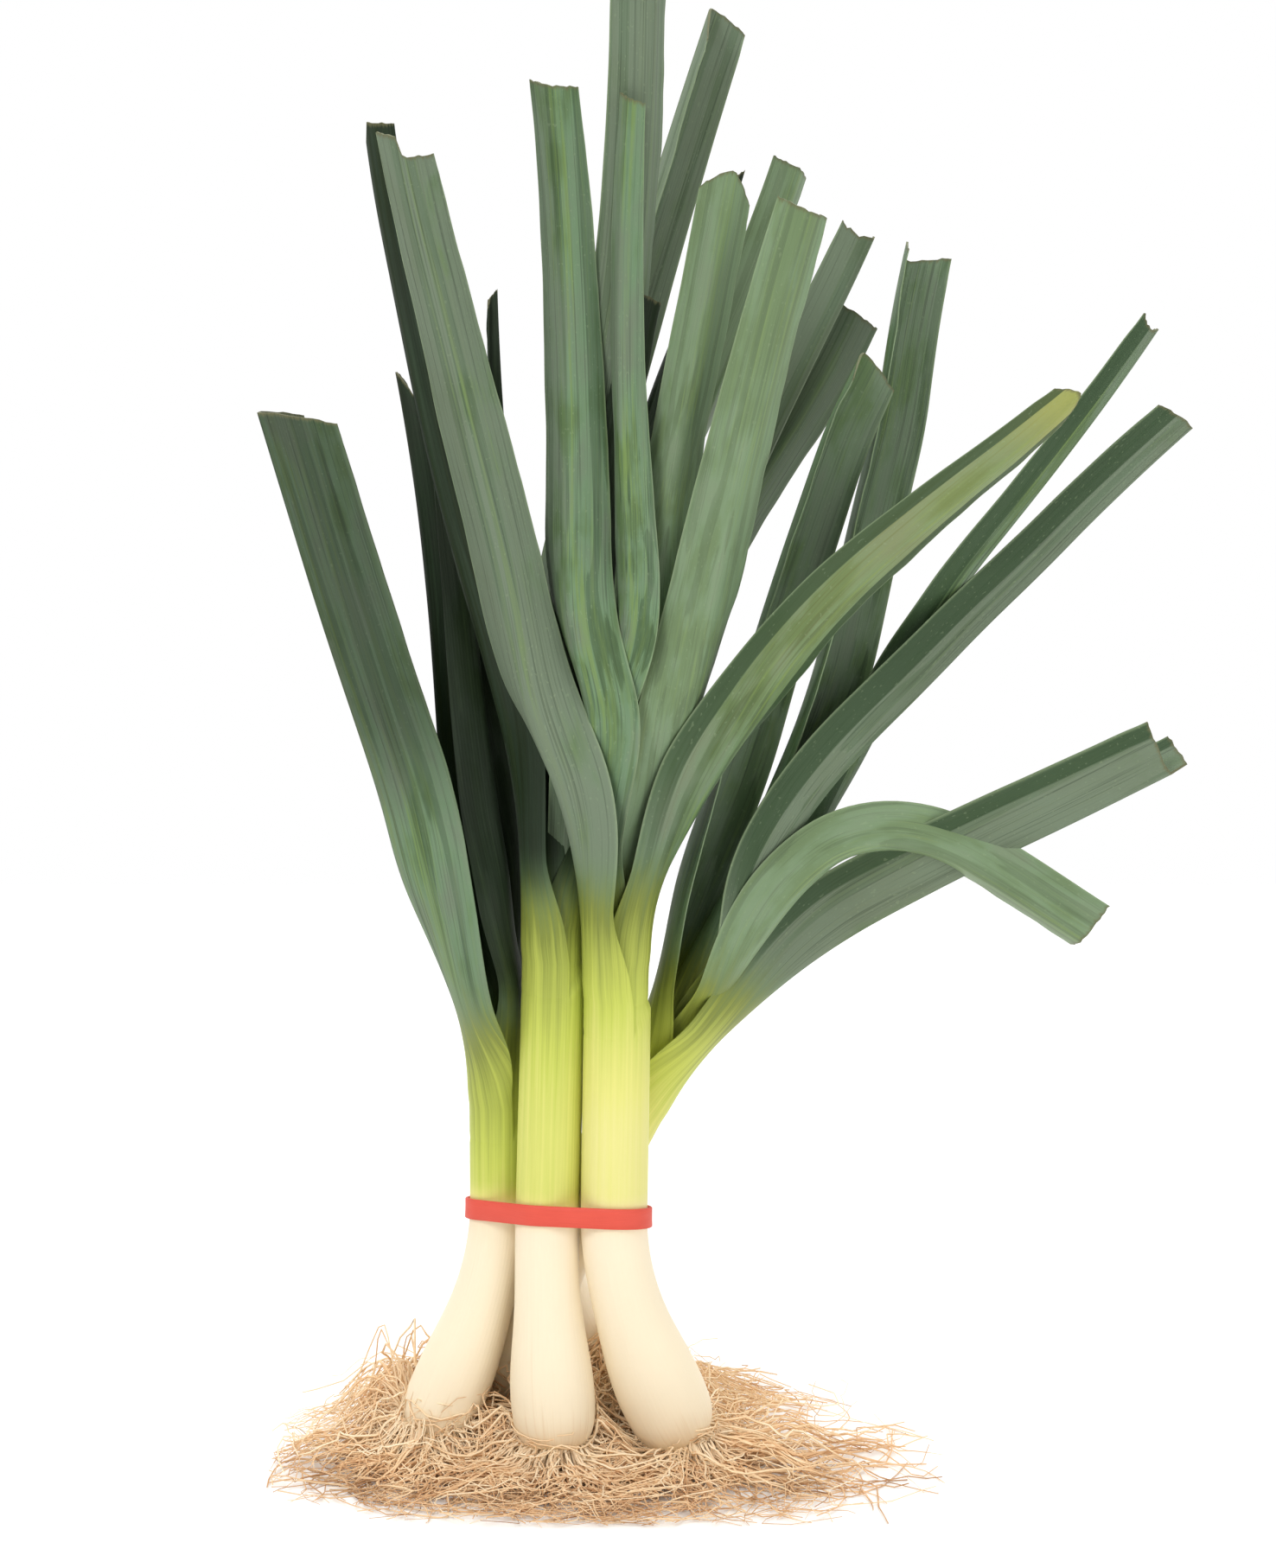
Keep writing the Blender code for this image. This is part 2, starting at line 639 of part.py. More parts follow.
def make_mound(leek, name, material):
    """The matted middle of a leek's roots: from under the tilted base plate to a flat underside."""
    rings = []
    middle = np.array([*leek.foot, 0]) * MM
    for share, height in MOUND_PROFILE:
        ring = []
        for i in range(MOUND_CORNERS):
            angle = math.tau * i / MOUND_CORNERS
            run = min(MOUND_RADIUS * share, free_run(leek, angle))
            out = np.array([run * math.cos(angle), run * math.sin(angle), height * MM])
            ring.append(middle + out)
        rings.append(ring)
    lean, toward = axis_angles(leek, FOOT_HEIGHT)
    along, _, _ = frame_of(lean, toward, 0)
    plate = axis_point(leek, FOOT_HEIGHT) - along * GAP
    radius = MOUND_UNDER_PLATE * PLATE_RADIUS * leek.radius * MM / SHANK_RADIUS
    top = [
        plate + radius * frame_of(lean, toward, -360 * i / CORNERS)[1] for i in range(CORNERS)
    ]
    rings.append(top)
    return lofted(name, rings, material)


def root_path(leek, angle, reach, dice):
    """The line of one root: out of the crown, down to the surface and along it with a slow curl."""
    foot = np.array([*leek.foot, 0]) * MM
    curl = dice.uniform(-ROOT_CURL, ROOT_CURL)
    lift = dice.uniform(*ROOT_LIFT) * MM
    rest = ROOT_RADIUS + dice.uniform(*ROOT_REST) * MM
    path = []
    for i in range(ROOT_SEGMENTS + 1):
        share = i / ROOT_SEGMENTS
        turn = angle + curl * share * share
        run = ROOT_START + (min(reach, free_run(leek, turn)) - ROOT_START) * share
        height = ROOT_DROP * (1 - share) ** 3 + lift * 4 * share * (1 - share) ** 2 + rest
        point = foot + run * np.array([math.cos(turn), math.sin(turn), 0])
        point[2] = height if i < ROOT_SEGMENTS else ROOT_RADIUS + GAP
        path.append(point)
    return path


def make_root(path, name, material):
    """A thin three-sided root along a path, tapering to its end."""
    rings = []
    for i, point in enumerate(path):
        run = Vector(path[min(i + 1, len(path) - 1)] - path[max(i - 1, 0)])
        turn = run.to_track_quat("Z", "Y")
        radius = ROOT_RADIUS * (1 - ROOT_TAPER * i / (len(path) - 1))
        rings.append([
            point + np.array(turn @ Vector((radius * math.cos(a), radius * math.sin(a), 0)))
            for a in (math.tau * k / 3 + math.pi / 2 for k in range(3))
        ])
    return lofted(name, rings, material)


def only_largest_shell(made):
    """Drops loose scraps and the walls of hollows that joining has sealed."""
    work = bmesh.new()
    work.from_mesh(made.data)
    left = set(work.verts)
    shells = []
    while left:
        shell = {left.pop()}
        edge_of_shell = set(shell)
        while edge_of_shell:
            near = {edge.other_vert(v) for v in edge_of_shell for edge in v.link_edges}
            edge_of_shell = near - shell
            shell |= edge_of_shell
        left -= shell
        shells.append(shell)
    largest = max(shells, key=len)
    others = [v for shell in shells if shell is not largest for v in shell]
    bmesh.ops.delete(work, geom=others, context="VERTS")
    bmesh.ops.dissolve_limit(work, angle_limit=FLAT, verts=work.verts, edges=work.edges)
    work.to_mesh(made.data)
    work.free()


def make_roots(leek, material):
    """A leek's roots, even on all sides, joined with the mound in one solid."""
    dice = random.Random(leek.name)
    mound = make_mound(leek, f"{leek.name}_roots", material)
    strands = bpy.data.collections.new(f"{leek.name}_strands")
    bpy.context.scene.collection.children.link(strands)
    for i in range(ROOTS_PER_LEEK):
        angle = math.tau * (i + dice.uniform(-ROOT_SPREAD, ROOT_SPREAD)) / ROOTS_PER_LEEK
        reach = leek.reach * MM * dice.uniform(*ROOT_REACH)
        root = make_root(root_path(leek, angle, reach, dice), f"{leek.name}_root_{i}", material)
        bpy.context.scene.collection.objects.unlink(root)
        strands.objects.link(root)
    join = mound.modifiers.new("join", "BOOLEAN")
    join.operation = "UNION"
    join.operand_type = "COLLECTION"
    join.collection = strands
    join.solver = "EXACT"
    bpy.context.view_layer.objects.active = mound
    bpy.ops.object.modifier_apply(modifier=join.name)
    for root in list(strands.objects):
        bpy.data.objects.remove(root)
    bpy.data.collections.remove(strands)
    only_largest_shell(mound)
    return mound


def band_rise(offset):
    """How much higher the tilted band is at a place than at the origin."""
    return BAND_TILT[0] * offset[0] + BAND_TILT[1] * offset[1]


def band_outline(rise, clearance):
    """The outline of a taut, tilted loop round all the shanks, at a rise above the band's middle."""
    outline = []
    for i in range(BAND_CORNERS):
        angle = math.tau * i / BAND_CORNERS
        out = np.array([math.cos(angle), math.sin(angle), 0])
        reaches = []
        for leek in LEEKS:
            touched = axis_point(leek, BAND_HEIGHT) + leek.radius * MM * out
            height = BAND_HEIGHT + rise + band_rise(touched)
            spread = shank_radius(leek, height) * math.hypot(1, out @ slope_at(leek, height))
            reaches.append((axis_point(leek, height), spread))
        middle, reach = max(reaches, key=lambda found: found[0] @ out + found[1])
        outline.append(middle + (reach + clearance) * out)
    return outline


def make_band(material):
    """The flat rubber band: inner and outer walls between two edges."""
    points = []
    for rise, clearance in (
        (-BAND_WIDTH / 2, 0),
        (-BAND_WIDTH / 2, BAND_THICKNESS),
        (BAND_WIDTH / 2, BAND_THICKNESS),
        (BAND_WIDTH / 2, 0),
    ):
        points += band_outline(rise, 2 * GAP + clearance)
    faces = []
    for level in range(4):
        low, high = level * BAND_CORNERS, (level + 1) % 4 * BAND_CORNERS
        for i in range(BAND_CORNERS):
            j = (i + 1) % BAND_CORNERS
            faces.append((low + i, low + j, high + j, high + i))
    return facing_out(mesh_object("rubber_band", points, faces, material))


def make_material(name, colour, roughness):
    """A plain Principled material."""
    material = bpy.data.materials.new(name)
    material.use_nodes = True
    shader = material.node_tree.nodes["Principled BSDF"]
    shader.inputs["Base Color"].default_value = (*colour, 1)
    shader.inputs["Roughness"].default_value = roughness
    shader.inputs["Metallic"].default_value = 0
    material.diffuse_color = (*colour, 1)
    return material


def main():
    """Clears the scene and builds the bunch."""
    for old in list(bpy.data.objects):
        bpy.data.objects.remove(old)
    shank = make_material("shank", (0.78, 0.76, 0.42), 0.45)
    blade = make_material("leaf", (0.13, 0.22, 0.10), 0.55)
    root = make_material("root", (0.62, 0.38, 0.19), 0.8)
    rubber = make_material("rubber", (0.78, 0.09, 0.06), 0.5)
    shapes = {
        (leek.name, number): LeafShape(leek, leaf)
        for leek in LEEKS for number, leaf in enumerate(leek.leaves, 1)
    }
    settle(shapes)
    made = {}
    for leek in LEEKS:
        made[leek.name] = make_shank(leek, shank)
    for (name, number), shape in shapes.items():
        made[f"{name} {number}"] = make_leaf(shape, f"{name}_leaf_{number}", blade)
    shanks = [made[leek.name] for leek in LEEKS]
    trim_crossings(shanks + [made[entry] for entry in FRONT_TO_BACK if " " in entry])
    for leek in LEEKS:
        make_roots(leek, root)
    make_band(rubber)


main()
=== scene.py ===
"""A bunch of five leeks that stands on its roots, held by a flat rubber band, on a pale studio floor."""

import logging
import math
from collections.abc import Callable, Iterable
from dataclasses import dataclass, field
from enum import Enum
from itertools import combinations

import bmesh
import bpy
import numpy as np
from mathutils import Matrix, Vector


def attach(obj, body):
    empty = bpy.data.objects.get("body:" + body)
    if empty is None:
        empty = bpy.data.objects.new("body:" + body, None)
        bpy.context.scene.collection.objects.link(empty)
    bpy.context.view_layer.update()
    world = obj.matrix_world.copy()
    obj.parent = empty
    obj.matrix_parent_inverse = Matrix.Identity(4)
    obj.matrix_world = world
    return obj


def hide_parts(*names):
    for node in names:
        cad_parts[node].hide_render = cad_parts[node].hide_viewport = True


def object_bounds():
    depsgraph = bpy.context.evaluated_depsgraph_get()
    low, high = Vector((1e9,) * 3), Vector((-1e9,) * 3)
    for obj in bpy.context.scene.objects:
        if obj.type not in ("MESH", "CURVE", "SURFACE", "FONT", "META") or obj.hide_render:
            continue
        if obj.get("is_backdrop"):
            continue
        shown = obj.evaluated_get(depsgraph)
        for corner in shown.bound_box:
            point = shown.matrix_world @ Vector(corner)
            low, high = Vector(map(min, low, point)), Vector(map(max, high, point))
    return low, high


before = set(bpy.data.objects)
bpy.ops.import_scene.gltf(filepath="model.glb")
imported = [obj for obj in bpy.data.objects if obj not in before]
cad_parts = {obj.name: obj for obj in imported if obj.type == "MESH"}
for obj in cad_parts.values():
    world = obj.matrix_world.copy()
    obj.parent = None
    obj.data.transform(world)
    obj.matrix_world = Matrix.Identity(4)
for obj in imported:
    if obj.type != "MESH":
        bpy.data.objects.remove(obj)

logging.basicConfig(level=logging.INFO, format="%(message)s")
log = logging.getLogger("leeks")

Array = np.ndarray
Material = bpy.types.Material
Range = tuple[float, float]
Faces = list[tuple[int, ...]]
MM = 0.001
GAP = 0.3 * MM

# Shanks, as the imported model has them
FOOT_HEIGHT = 14 * MM
BAND_HEIGHT = 117 * MM
CORNERS = 12
PLATE_RADIUS = 12.5 * MM
BULB_RADIUS = 18.5 * MM
SHANK_RADIUS = 14 * MM
BULB_HEIGHT = 22 * MM
BULB_LENGTH = 30 * MM
PLATE_ROUNDING = 11 * MM
HEART_RISE = 14 * MM

# How the shanks turn green, and the angle in degrees from which edges look sharp
COLLAR_GREEN = 0.66
TINGED_OVER = (-9 * MM, 12 * MM)
GREENS_OVER = (-80 * MM, 30 * MM)
SHARP_FROM = 50

# Leaves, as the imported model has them, with a sharper keel
LEAF_THICKNESS = 1.0 * MM
ACROSS = 8
KEEL_JOINTS = 161
SECTION_JOINTS = 97
SHEATH_TURN = ACROSS * 360 / CORNERS
SHEATH_LENGTH = 10 * MM
FLARE = 0.8 * MM
FLARE_LENGTH = 10 * MM
LEAN_STARTS = 18 * MM
LEAN_SETTLES = 62 * MM
KEEL_SHARPNESS = 0.08
BLADE_KEEL = 0.8
CREASE_FROM = 1.2
CREASE_FULLY = 2.7
SHEATH_STEP = LEAF_THICKNESS + GAP / math.cos(math.pi / CORNERS)
TIP_LENGTH = 55 * MM
TAPER_FROM = 0.3

# How the blades lie on each other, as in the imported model
CLEARANCE = 2.4 * MM
SETTLING_ROUNDS = 120
FREE_FROM = 24 * MM
FREE_FULLY = 70 * MM
EASED_OVER = 15
STEEPEST_PUSH = 0.4
LEVEL_STEP = 6 * MM
TOP_LEVEL = 700 * MM
TRACED_ROWS = 90


class Slot(Enum):
    """The record's material slots."""

    SHANK = "shank"
    LEAF = "leaf"
    ROOT = "root"
    RUBBER = "rubber"


class Tone(Enum):
    """How a leaf is coloured: its grey bloom, how much painted shade darkens it, and its yellowing."""

    BRIGHT = (0.1, 0.0, 0.0)
    GREEN = (0.4, 0.06, 0.0)
    GREY = (0.95, 0.08, 0.0)
    # The next two tones paint shade: they darken a leaf towards near black, as the shade inside the bunch,
    # the first only some way up the blade and the second all along it.
    PART_SHADED = (0.5, 0.7, 0.0)
    IN_SHADE = (0.3, 1.0, 0.0)
    YELLOWING = (0.3, 0.0, 0.6)


class CutEnd(Enum):
    """How the end of a leaf was cut."""

    STRAIGHT = "straight"
    FLAPS = "two flaps"
    POINTED = "a point at the fold"
    TORN = "torn"


@dataclass(frozen=True)
class LeafForm:
    """One leaf. Angles are in degrees and lengths in millimetres.

    lean is how far the keel leans to the right, evenly spaced along the blade, and toward how far
    it leans to the front. keel says where the keel faces at the collar and at the tip: 0 is right,
    90 front, 180 left and 270 back. strip is the share of each half, next to its margin, that is
    painted a darker green as shade, as if in the shadow of the fold.
    """

    collar: float
    length: float
    lean: tuple[float, ...]
    toward: tuple[float, ...]
    keel: Range
    width: float = 50
    fold: Range = (110, 100)
    tip_width: float = 0.8
    slant: float = 4
    opening: float = 50
    droops: bool = False
    tone: Tone = Tone.GREEN
    cut: CutEnd = CutEnd.STRAIGHT
    strip: float = 0.0


def smooth(low: float, high: float, value: Array | float) -> Array:
    """An S-curve from 0 to 1.

    Args:
        low: Where it starts to rise.
        high: Where it is 1.
        value: One value or several.

    Returns:
        The curve's height at each value.
    """
    share = np.clip((np.asarray(value, float) - low) / (high - low), 0, 1)
    return share * share * (3 - 2 * share)


def looked_up(place: Array, known: Array, values: Array) -> Array:
    """What a table gives at places between its known ones, a column of values at a time."""
    return np.stack([np.interp(place, known, column) for column in values.T], axis=-1)


def frames_of(lean: Array, toward: Array, facing: Array) -> tuple[Array, Array, Array]:
    """Directions on a stem or leaf.

    Args:
        lean: Degrees to the right of the vertical.
        toward: Degrees to the front of it.
        facing: Where the keel faces, in degrees.

    Returns:
        Unit vectors along the stem, out where facing points, and sideways, square to both.
    """
    lean, toward, facing = (np.radians(np.asarray(a, float)) for a in (lean, toward, facing))
    along = np.stack(
        [np.sin(lean) * np.cos(toward), -np.sin(toward), np.cos(lean) * np.cos(toward)], axis=-1
    )
    right = np.stack([np.cos(lean), np.zeros_like(lean), -np.sin(lean)], axis=-1)
    out = np.cos(facing)[..., None] * right + np.sin(facing)[..., None] * np.cross(right, along)
    return along, out, np.cross(along, out)


@dataclass(frozen=True)
class LeekForm:
    """One leek: where its axis meets its base plate and the band, and its slope above that, in mm."""

    name: str
    foot: Range
    band: Range
    slope: Range
    radius: float
    reach: float
    leaves: tuple[LeafForm, ...]
    greens_from: float = 150
    tinge: float = 0.3

    def axis(self, height: Array | float) -> Array:
        """The middle of the shank.

        Args:
            height: One height or several, in metres.

        Returns:
            A point for each height: on a curve up to the band, and straight above it.
        """
        height = np.asarray(height, float)
        rise = BAND_HEIGHT - FOOT_HEIGHT
        share = (height - FOOT_HEIGHT) / rise
        point = []
        for foot, band, slope in zip(self.foot, self.band, self.slope):
            foot, band = foot * MM, band * MM
            first = 1.5 * (band - foot) / rise - 0.5 * slope
            curve = (
                (2 * share**3 - 3 * share**2 + 1) * foot
                + (share**3 - 2 * share**2 + share) * rise * first
                + (3 * share**2 - 2 * share**3) * band
                + (share**3 - share**2) * rise * slope
            )
            point.append(np.where(share > 1, band + slope * (height - BAND_HEIGHT), curve))
        return np.stack([*point, height], axis=-1)

    def angles(self, height: Array | float) -> tuple[Array, Array]:
        """How far the shank leans.

        Args:
            height: One height or several, in metres.

        Returns:
            Degrees to the right and to the front.
        """
        step = 0.5 * MM
        height = np.asarray(height, float)
        run = self.axis(height + step) - self.axis(height - step)
        run = run / np.linalg.norm(run, axis=-1, keepdims=True)
        lean = np.degrees(np.arctan2(run[..., 0], run[..., 2]))
        return lean, np.degrees(np.arcsin(-run[..., 1]))

    def width_at(self, height: Array | float) -> Array:
        """The radius of the outermost layer, without the steps at the collars.

        Args:
            height: One height or several, in metres.

        Returns:
            The radius at each.
        """
        above = np.maximum(np.asarray(height, float) - FOOT_HEIGHT, 0)
        bulge = np.exp(-(((above - BULB_HEIGHT) / BULB_LENGTH) ** 2))
        radius = SHANK_RADIUS + (BULB_RADIUS - SHANK_RADIUS) * bulge
        share = np.clip(1 - above / PLATE_ROUNDING, 0, 1)
        radius = radius + (PLATE_RADIUS - radius) * (1 - np.sqrt(1 - share * share))
        return radius * self.radius * MM / SHANK_RADIUS

    def radius_at(self, height: float) -> float:
        """The shank's radius at a height, with a step at each collar."""
        steps = sum(height >= leaf.collar * MM for leaf in self.leaves)
        return float(self.width_at(height)) - steps * SHEATH_STEP

    def greenness(self, height: Array | float) -> Array:
        """How far the shank has turned from white (0) towards leaf green (1).

        Args:
            height: One height or several, in metres.

        Returns:
            The share at each.
        """
        height = np.asarray(height, float)
        first = self.greens_from * MM
        pale = self.tinge * smooth(*(BAND_HEIGHT + off for off in TINGED_OVER), height)
        return pale + (COLLAR_GREEN - self.tinge) * smooth(*(first + off for off in GREENS_OVER), height)


LEEKS = (
    LeekForm(
        "leek_left", foot=(-56, 20), band=(-25, 25), slope=(0.0, 0.03), radius=13, reach=78,
        greens_from=166, tinge=0.42,
        leaves=(
            LeafForm(148, 333, (-17, -20, -18, -16, -16), (2, 3, 2), (180, 160), 76, (100, 105), 0.95,
                tone=Tone.PART_SHADED, cut=CutEnd.POINTED),
            LeafForm(162, 285, (-1, -4, -6, -8), (-5, -6, -4), (0, 20), 40, (100, 90), 0.6,
                tone=Tone.IN_SHADE),
            LeafForm(176, 314, (-10, -10, -8, -9, -11), (-4, -6, -5), (180, 160), 50, (110, 100), 0.35,
                10, 70, tone=Tone.IN_SHADE, cut=CutEnd.POINTED),
            LeafForm(190, 240, (1, -2, -4), (-3, -4, -4), (0, 20), 32, (120, 100), 0.5, 4, 70,
                tone=Tone.IN_SHADE),
        ),
    ),
    LeekForm(
        "leek_middle", foot=(0, 0), band=(-3.5, 7), slope=(0.03, 0.02), radius=14, reach=88,
        greens_from=222, tinge=0.42,
        leaves=(
            LeafForm(216, 380, (-3, -15, -17, -14, -11, -11, -6), (-1, -2, 0), (180, 165), 50, (105, 95),
                0.62, tone=Tone.IN_SHADE, cut=CutEnd.FLAPS),
            LeafForm(230, 295, (12, 17, 17), (-6, -8, -8), (0, 30), 40, (105, 95), 0.7, tone=Tone.IN_SHADE),
            LeafForm(244, 158, (-7, -10, -11), (-3, -5, -5), (180, 160), 34, (115, 90), 0.4, 10, 70,
                tone=Tone.IN_SHADE),
            LeafForm(258, 414, (2, 3, 3, 2, 0), (-2, -3, -3), (0, 60), 42, (115, 90), 0.8, 4, 70,
                tone=Tone.GREY),
        ),
    ),
    LeekForm(
        "leek_right", foot=(55, 13), band=(25.6, 2), slope=(0.016, 0.0), radius=14.6, reach=112,
        greens_from=230, tinge=0.3,
        leaves=(
            LeafForm(200, 400, (-2, -16, -17, -18, -15, -14, -10), (9, 14, 11, 8), (180, 100), 46,
                (105, 95), 0.64, tone=Tone.GREY, cut=CutEnd.FLAPS),
            LeafForm(214, 337, (22, 29, 41, 49, 51, 47), (9, 8, 5, 3), (0, 75), 46, (105, 90), 0.4, 8,
                tone=Tone.YELLOWING, cut=CutEnd.POINTED, strip=0.42),
            LeafForm(228, 379, (0, -1, -3, -5, -5, -5), (6, 8, 7), (180, 110), 44, (110, 80), 0.58,
                tone=Tone.GREEN),
            LeafForm(242, 322, (21, 10, 12, 13, 16), (8, 10, 8), (0, 70), 46, (110, 80), 0.62,
                tone=Tone.BRIGHT),
            LeafForm(256, 343, (-1, 0, 2, 4, 4), (0, 0, 1), (180, 120), 30, (120, 80), 0.5, 4, 70,
                tone=Tone.GREEN),
            LeafForm(270, 303, (5, 11, 12, 11, 10), (-2, -2, -1), (0, 80), 34, (120, 80), 0.8, 4, 70,
                tone=Tone.BRIGHT, cut=CutEnd.POINTED),
        ),
    ),
    LeekForm(
        "leek_back_right", foot=(-22.5, 61), band=(12.7, 32), slope=(0.52, 0.05), radius=14.4,
        reach=80, greens_from=192, tinge=0.24,
        leaves=(
            LeafForm(146, 300, (46, 56, 60, 61, 62), (4, 5, 3), (0, 25), 74, (100, 110), 0.75,
                tone=Tone.GREY, cut=CutEnd.FLAPS, strip=0.28),
            LeafForm(157, 350, (20, 13, 13, 19, 25, 25), (-2, -6, -6), (180, 220), 50, (105, 90), 0.8, 4,
                tone=Tone.GREEN, cut=CutEnd.POINTED),
            LeafForm(168, 260, (27, 36, 52, 90, 119, 123, 122), (12, 19, 12, 6), (0, 60), 39, (110, 90),
                0.95, droops=True, tone=Tone.BRIGHT),
            LeafForm(179, 370, (31, 37, 39, 43, 47, 49), (0, -1, -1), (0, 25), 50, (110, 100), 0.8, 12,
                tone=Tone.GREY, cut=CutEnd.POINTED, strip=0.5),
            LeafForm(190, 370, (25, 21, 11, 10, 13, 14), (-5, -10, -10), (180, 220), 52, (115, 90), 0.8,
                14, 70, tone=Tone.GREEN, cut=CutEnd.FLAPS),
            LeafForm(201, 396, (37, 40, 40, 39, 37, 34), (-9, -11, -11), (0, 20), 38, (120, 90), 0.6, 12,
                70, tone=Tone.GREEN, cut=CutEnd.TORN, strip=0.6),
        ),
    ),
    LeekForm(
        "leek_back", foot=(14, 104), band=(-7.6, 61), slope=(0.036, 0.055), radius=13.6, reach=86,
        greens_from=205, tinge=0.3,
        leaves=(
            LeafForm(214, 368, (22, 28, 28, 23), (-3, -4, -4), (0, 40), 42, (105, 90), 0.75, 12,
                tone=Tone.GREY, cut=CutEnd.TORN),
            LeafForm(228, 293, (-8, -5, 1), (-8, -14, -14), (180, 220), 25, (105, 90), 0.3, 10,
                tone=Tone.IN_SHADE),
            LeafForm(242, 300, (24, 34, 34, 29, 24), (-3, -4, -4), (0, 75), 48, (110, 80), 0.9,
                tone=Tone.GREY),
            LeafForm(256, 400, (3, 11, 17, 19), (-6, -8, -9), (180, 210), 52, (115, 90), 0.75, 12, 60,
                tone=Tone.GREY, cut=CutEnd.POINTED),
            LeafForm(270, 316, (13, 21, 22, 18), (-3, -5, -6), (0, 60), 32, (115, 90), 0.8, 4, 70,
                tone=Tone.BRIGHT),
            LeafForm(284, 302, (12, 21, 24, 19), (-7, -10, -10), (180, 210), 24, (120, 90), 0.25, 8, 70,
                tone=Tone.IN_SHADE),
        ),
    ),
)

# The leaves by number, from the frontmost to the backmost where they cross in the view from the
# front. 0 stands for the leek's shank.
FRONT_TO_BACK = (
    ("leek_right", (2, 1, 4, 3, 5, 6, 0)), ("leek_middle", (1, 2, 4, 3, 0)), ("leek_back_right", (3,)),
    ("leek_left", (1,)), ("leek_back_right", (1,)), ("leek_left", (3, 2, 4, 0)),
    ("leek_back_right", (4, 6, 5, 2, 0)), ("leek_back", (3, 1, 5, 6, 4, 2, 0)),
)


def operator_of(operation: str, reflected: bool = False) -> Callable:
    """One of Socket's operators.

    Args:
        operation: What its Math node does.
        reflected: Whether the socket is the second operand.

    Returns:
        The method, which adds the node.
    """
    def apply(own: "Socket", other: "Socket | float") -> "Socket":
        """The output of the node."""
        operands = (other, own) if reflected else (own, other)
        return own.graph.node("ShaderNodeMath", {"operation": operation}, dict(enumerate(operands)))["Value"]

    return apply


class Socket:
    """A shader socket with the arithmetic operators. Each expression adds its Math nodes."""

    __add__ = operator_of("ADD")
    __radd__ = operator_of("ADD", reflected=True)
    __sub__ = operator_of("SUBTRACT")
    __rsub__ = operator_of("SUBTRACT", reflected=True)
    __mul__ = operator_of("MULTIPLY")
    __rmul__ = operator_of("MULTIPLY", reflected=True)

    def __init__(self, graph: "Graph", link: bpy.types.NodeSocket) -> None:
        """Wraps one output socket of a graph."""
        self.graph = graph
        self.link = link


class Outputs:
    """The output sockets of one node, by name."""

    def __init__(self, graph: "Graph", made: bpy.types.Node) -> None:
        """Keeps the node for its outputs."""
        self.graph = graph
        self.made = made

    def __getitem__(self, name: str) -> Socket:
        """The enabled output with this name, wrapped."""
        link = next(s for s in self.made.outputs if s.enabled and s.name == name)
        return Socket(self.graph, link)


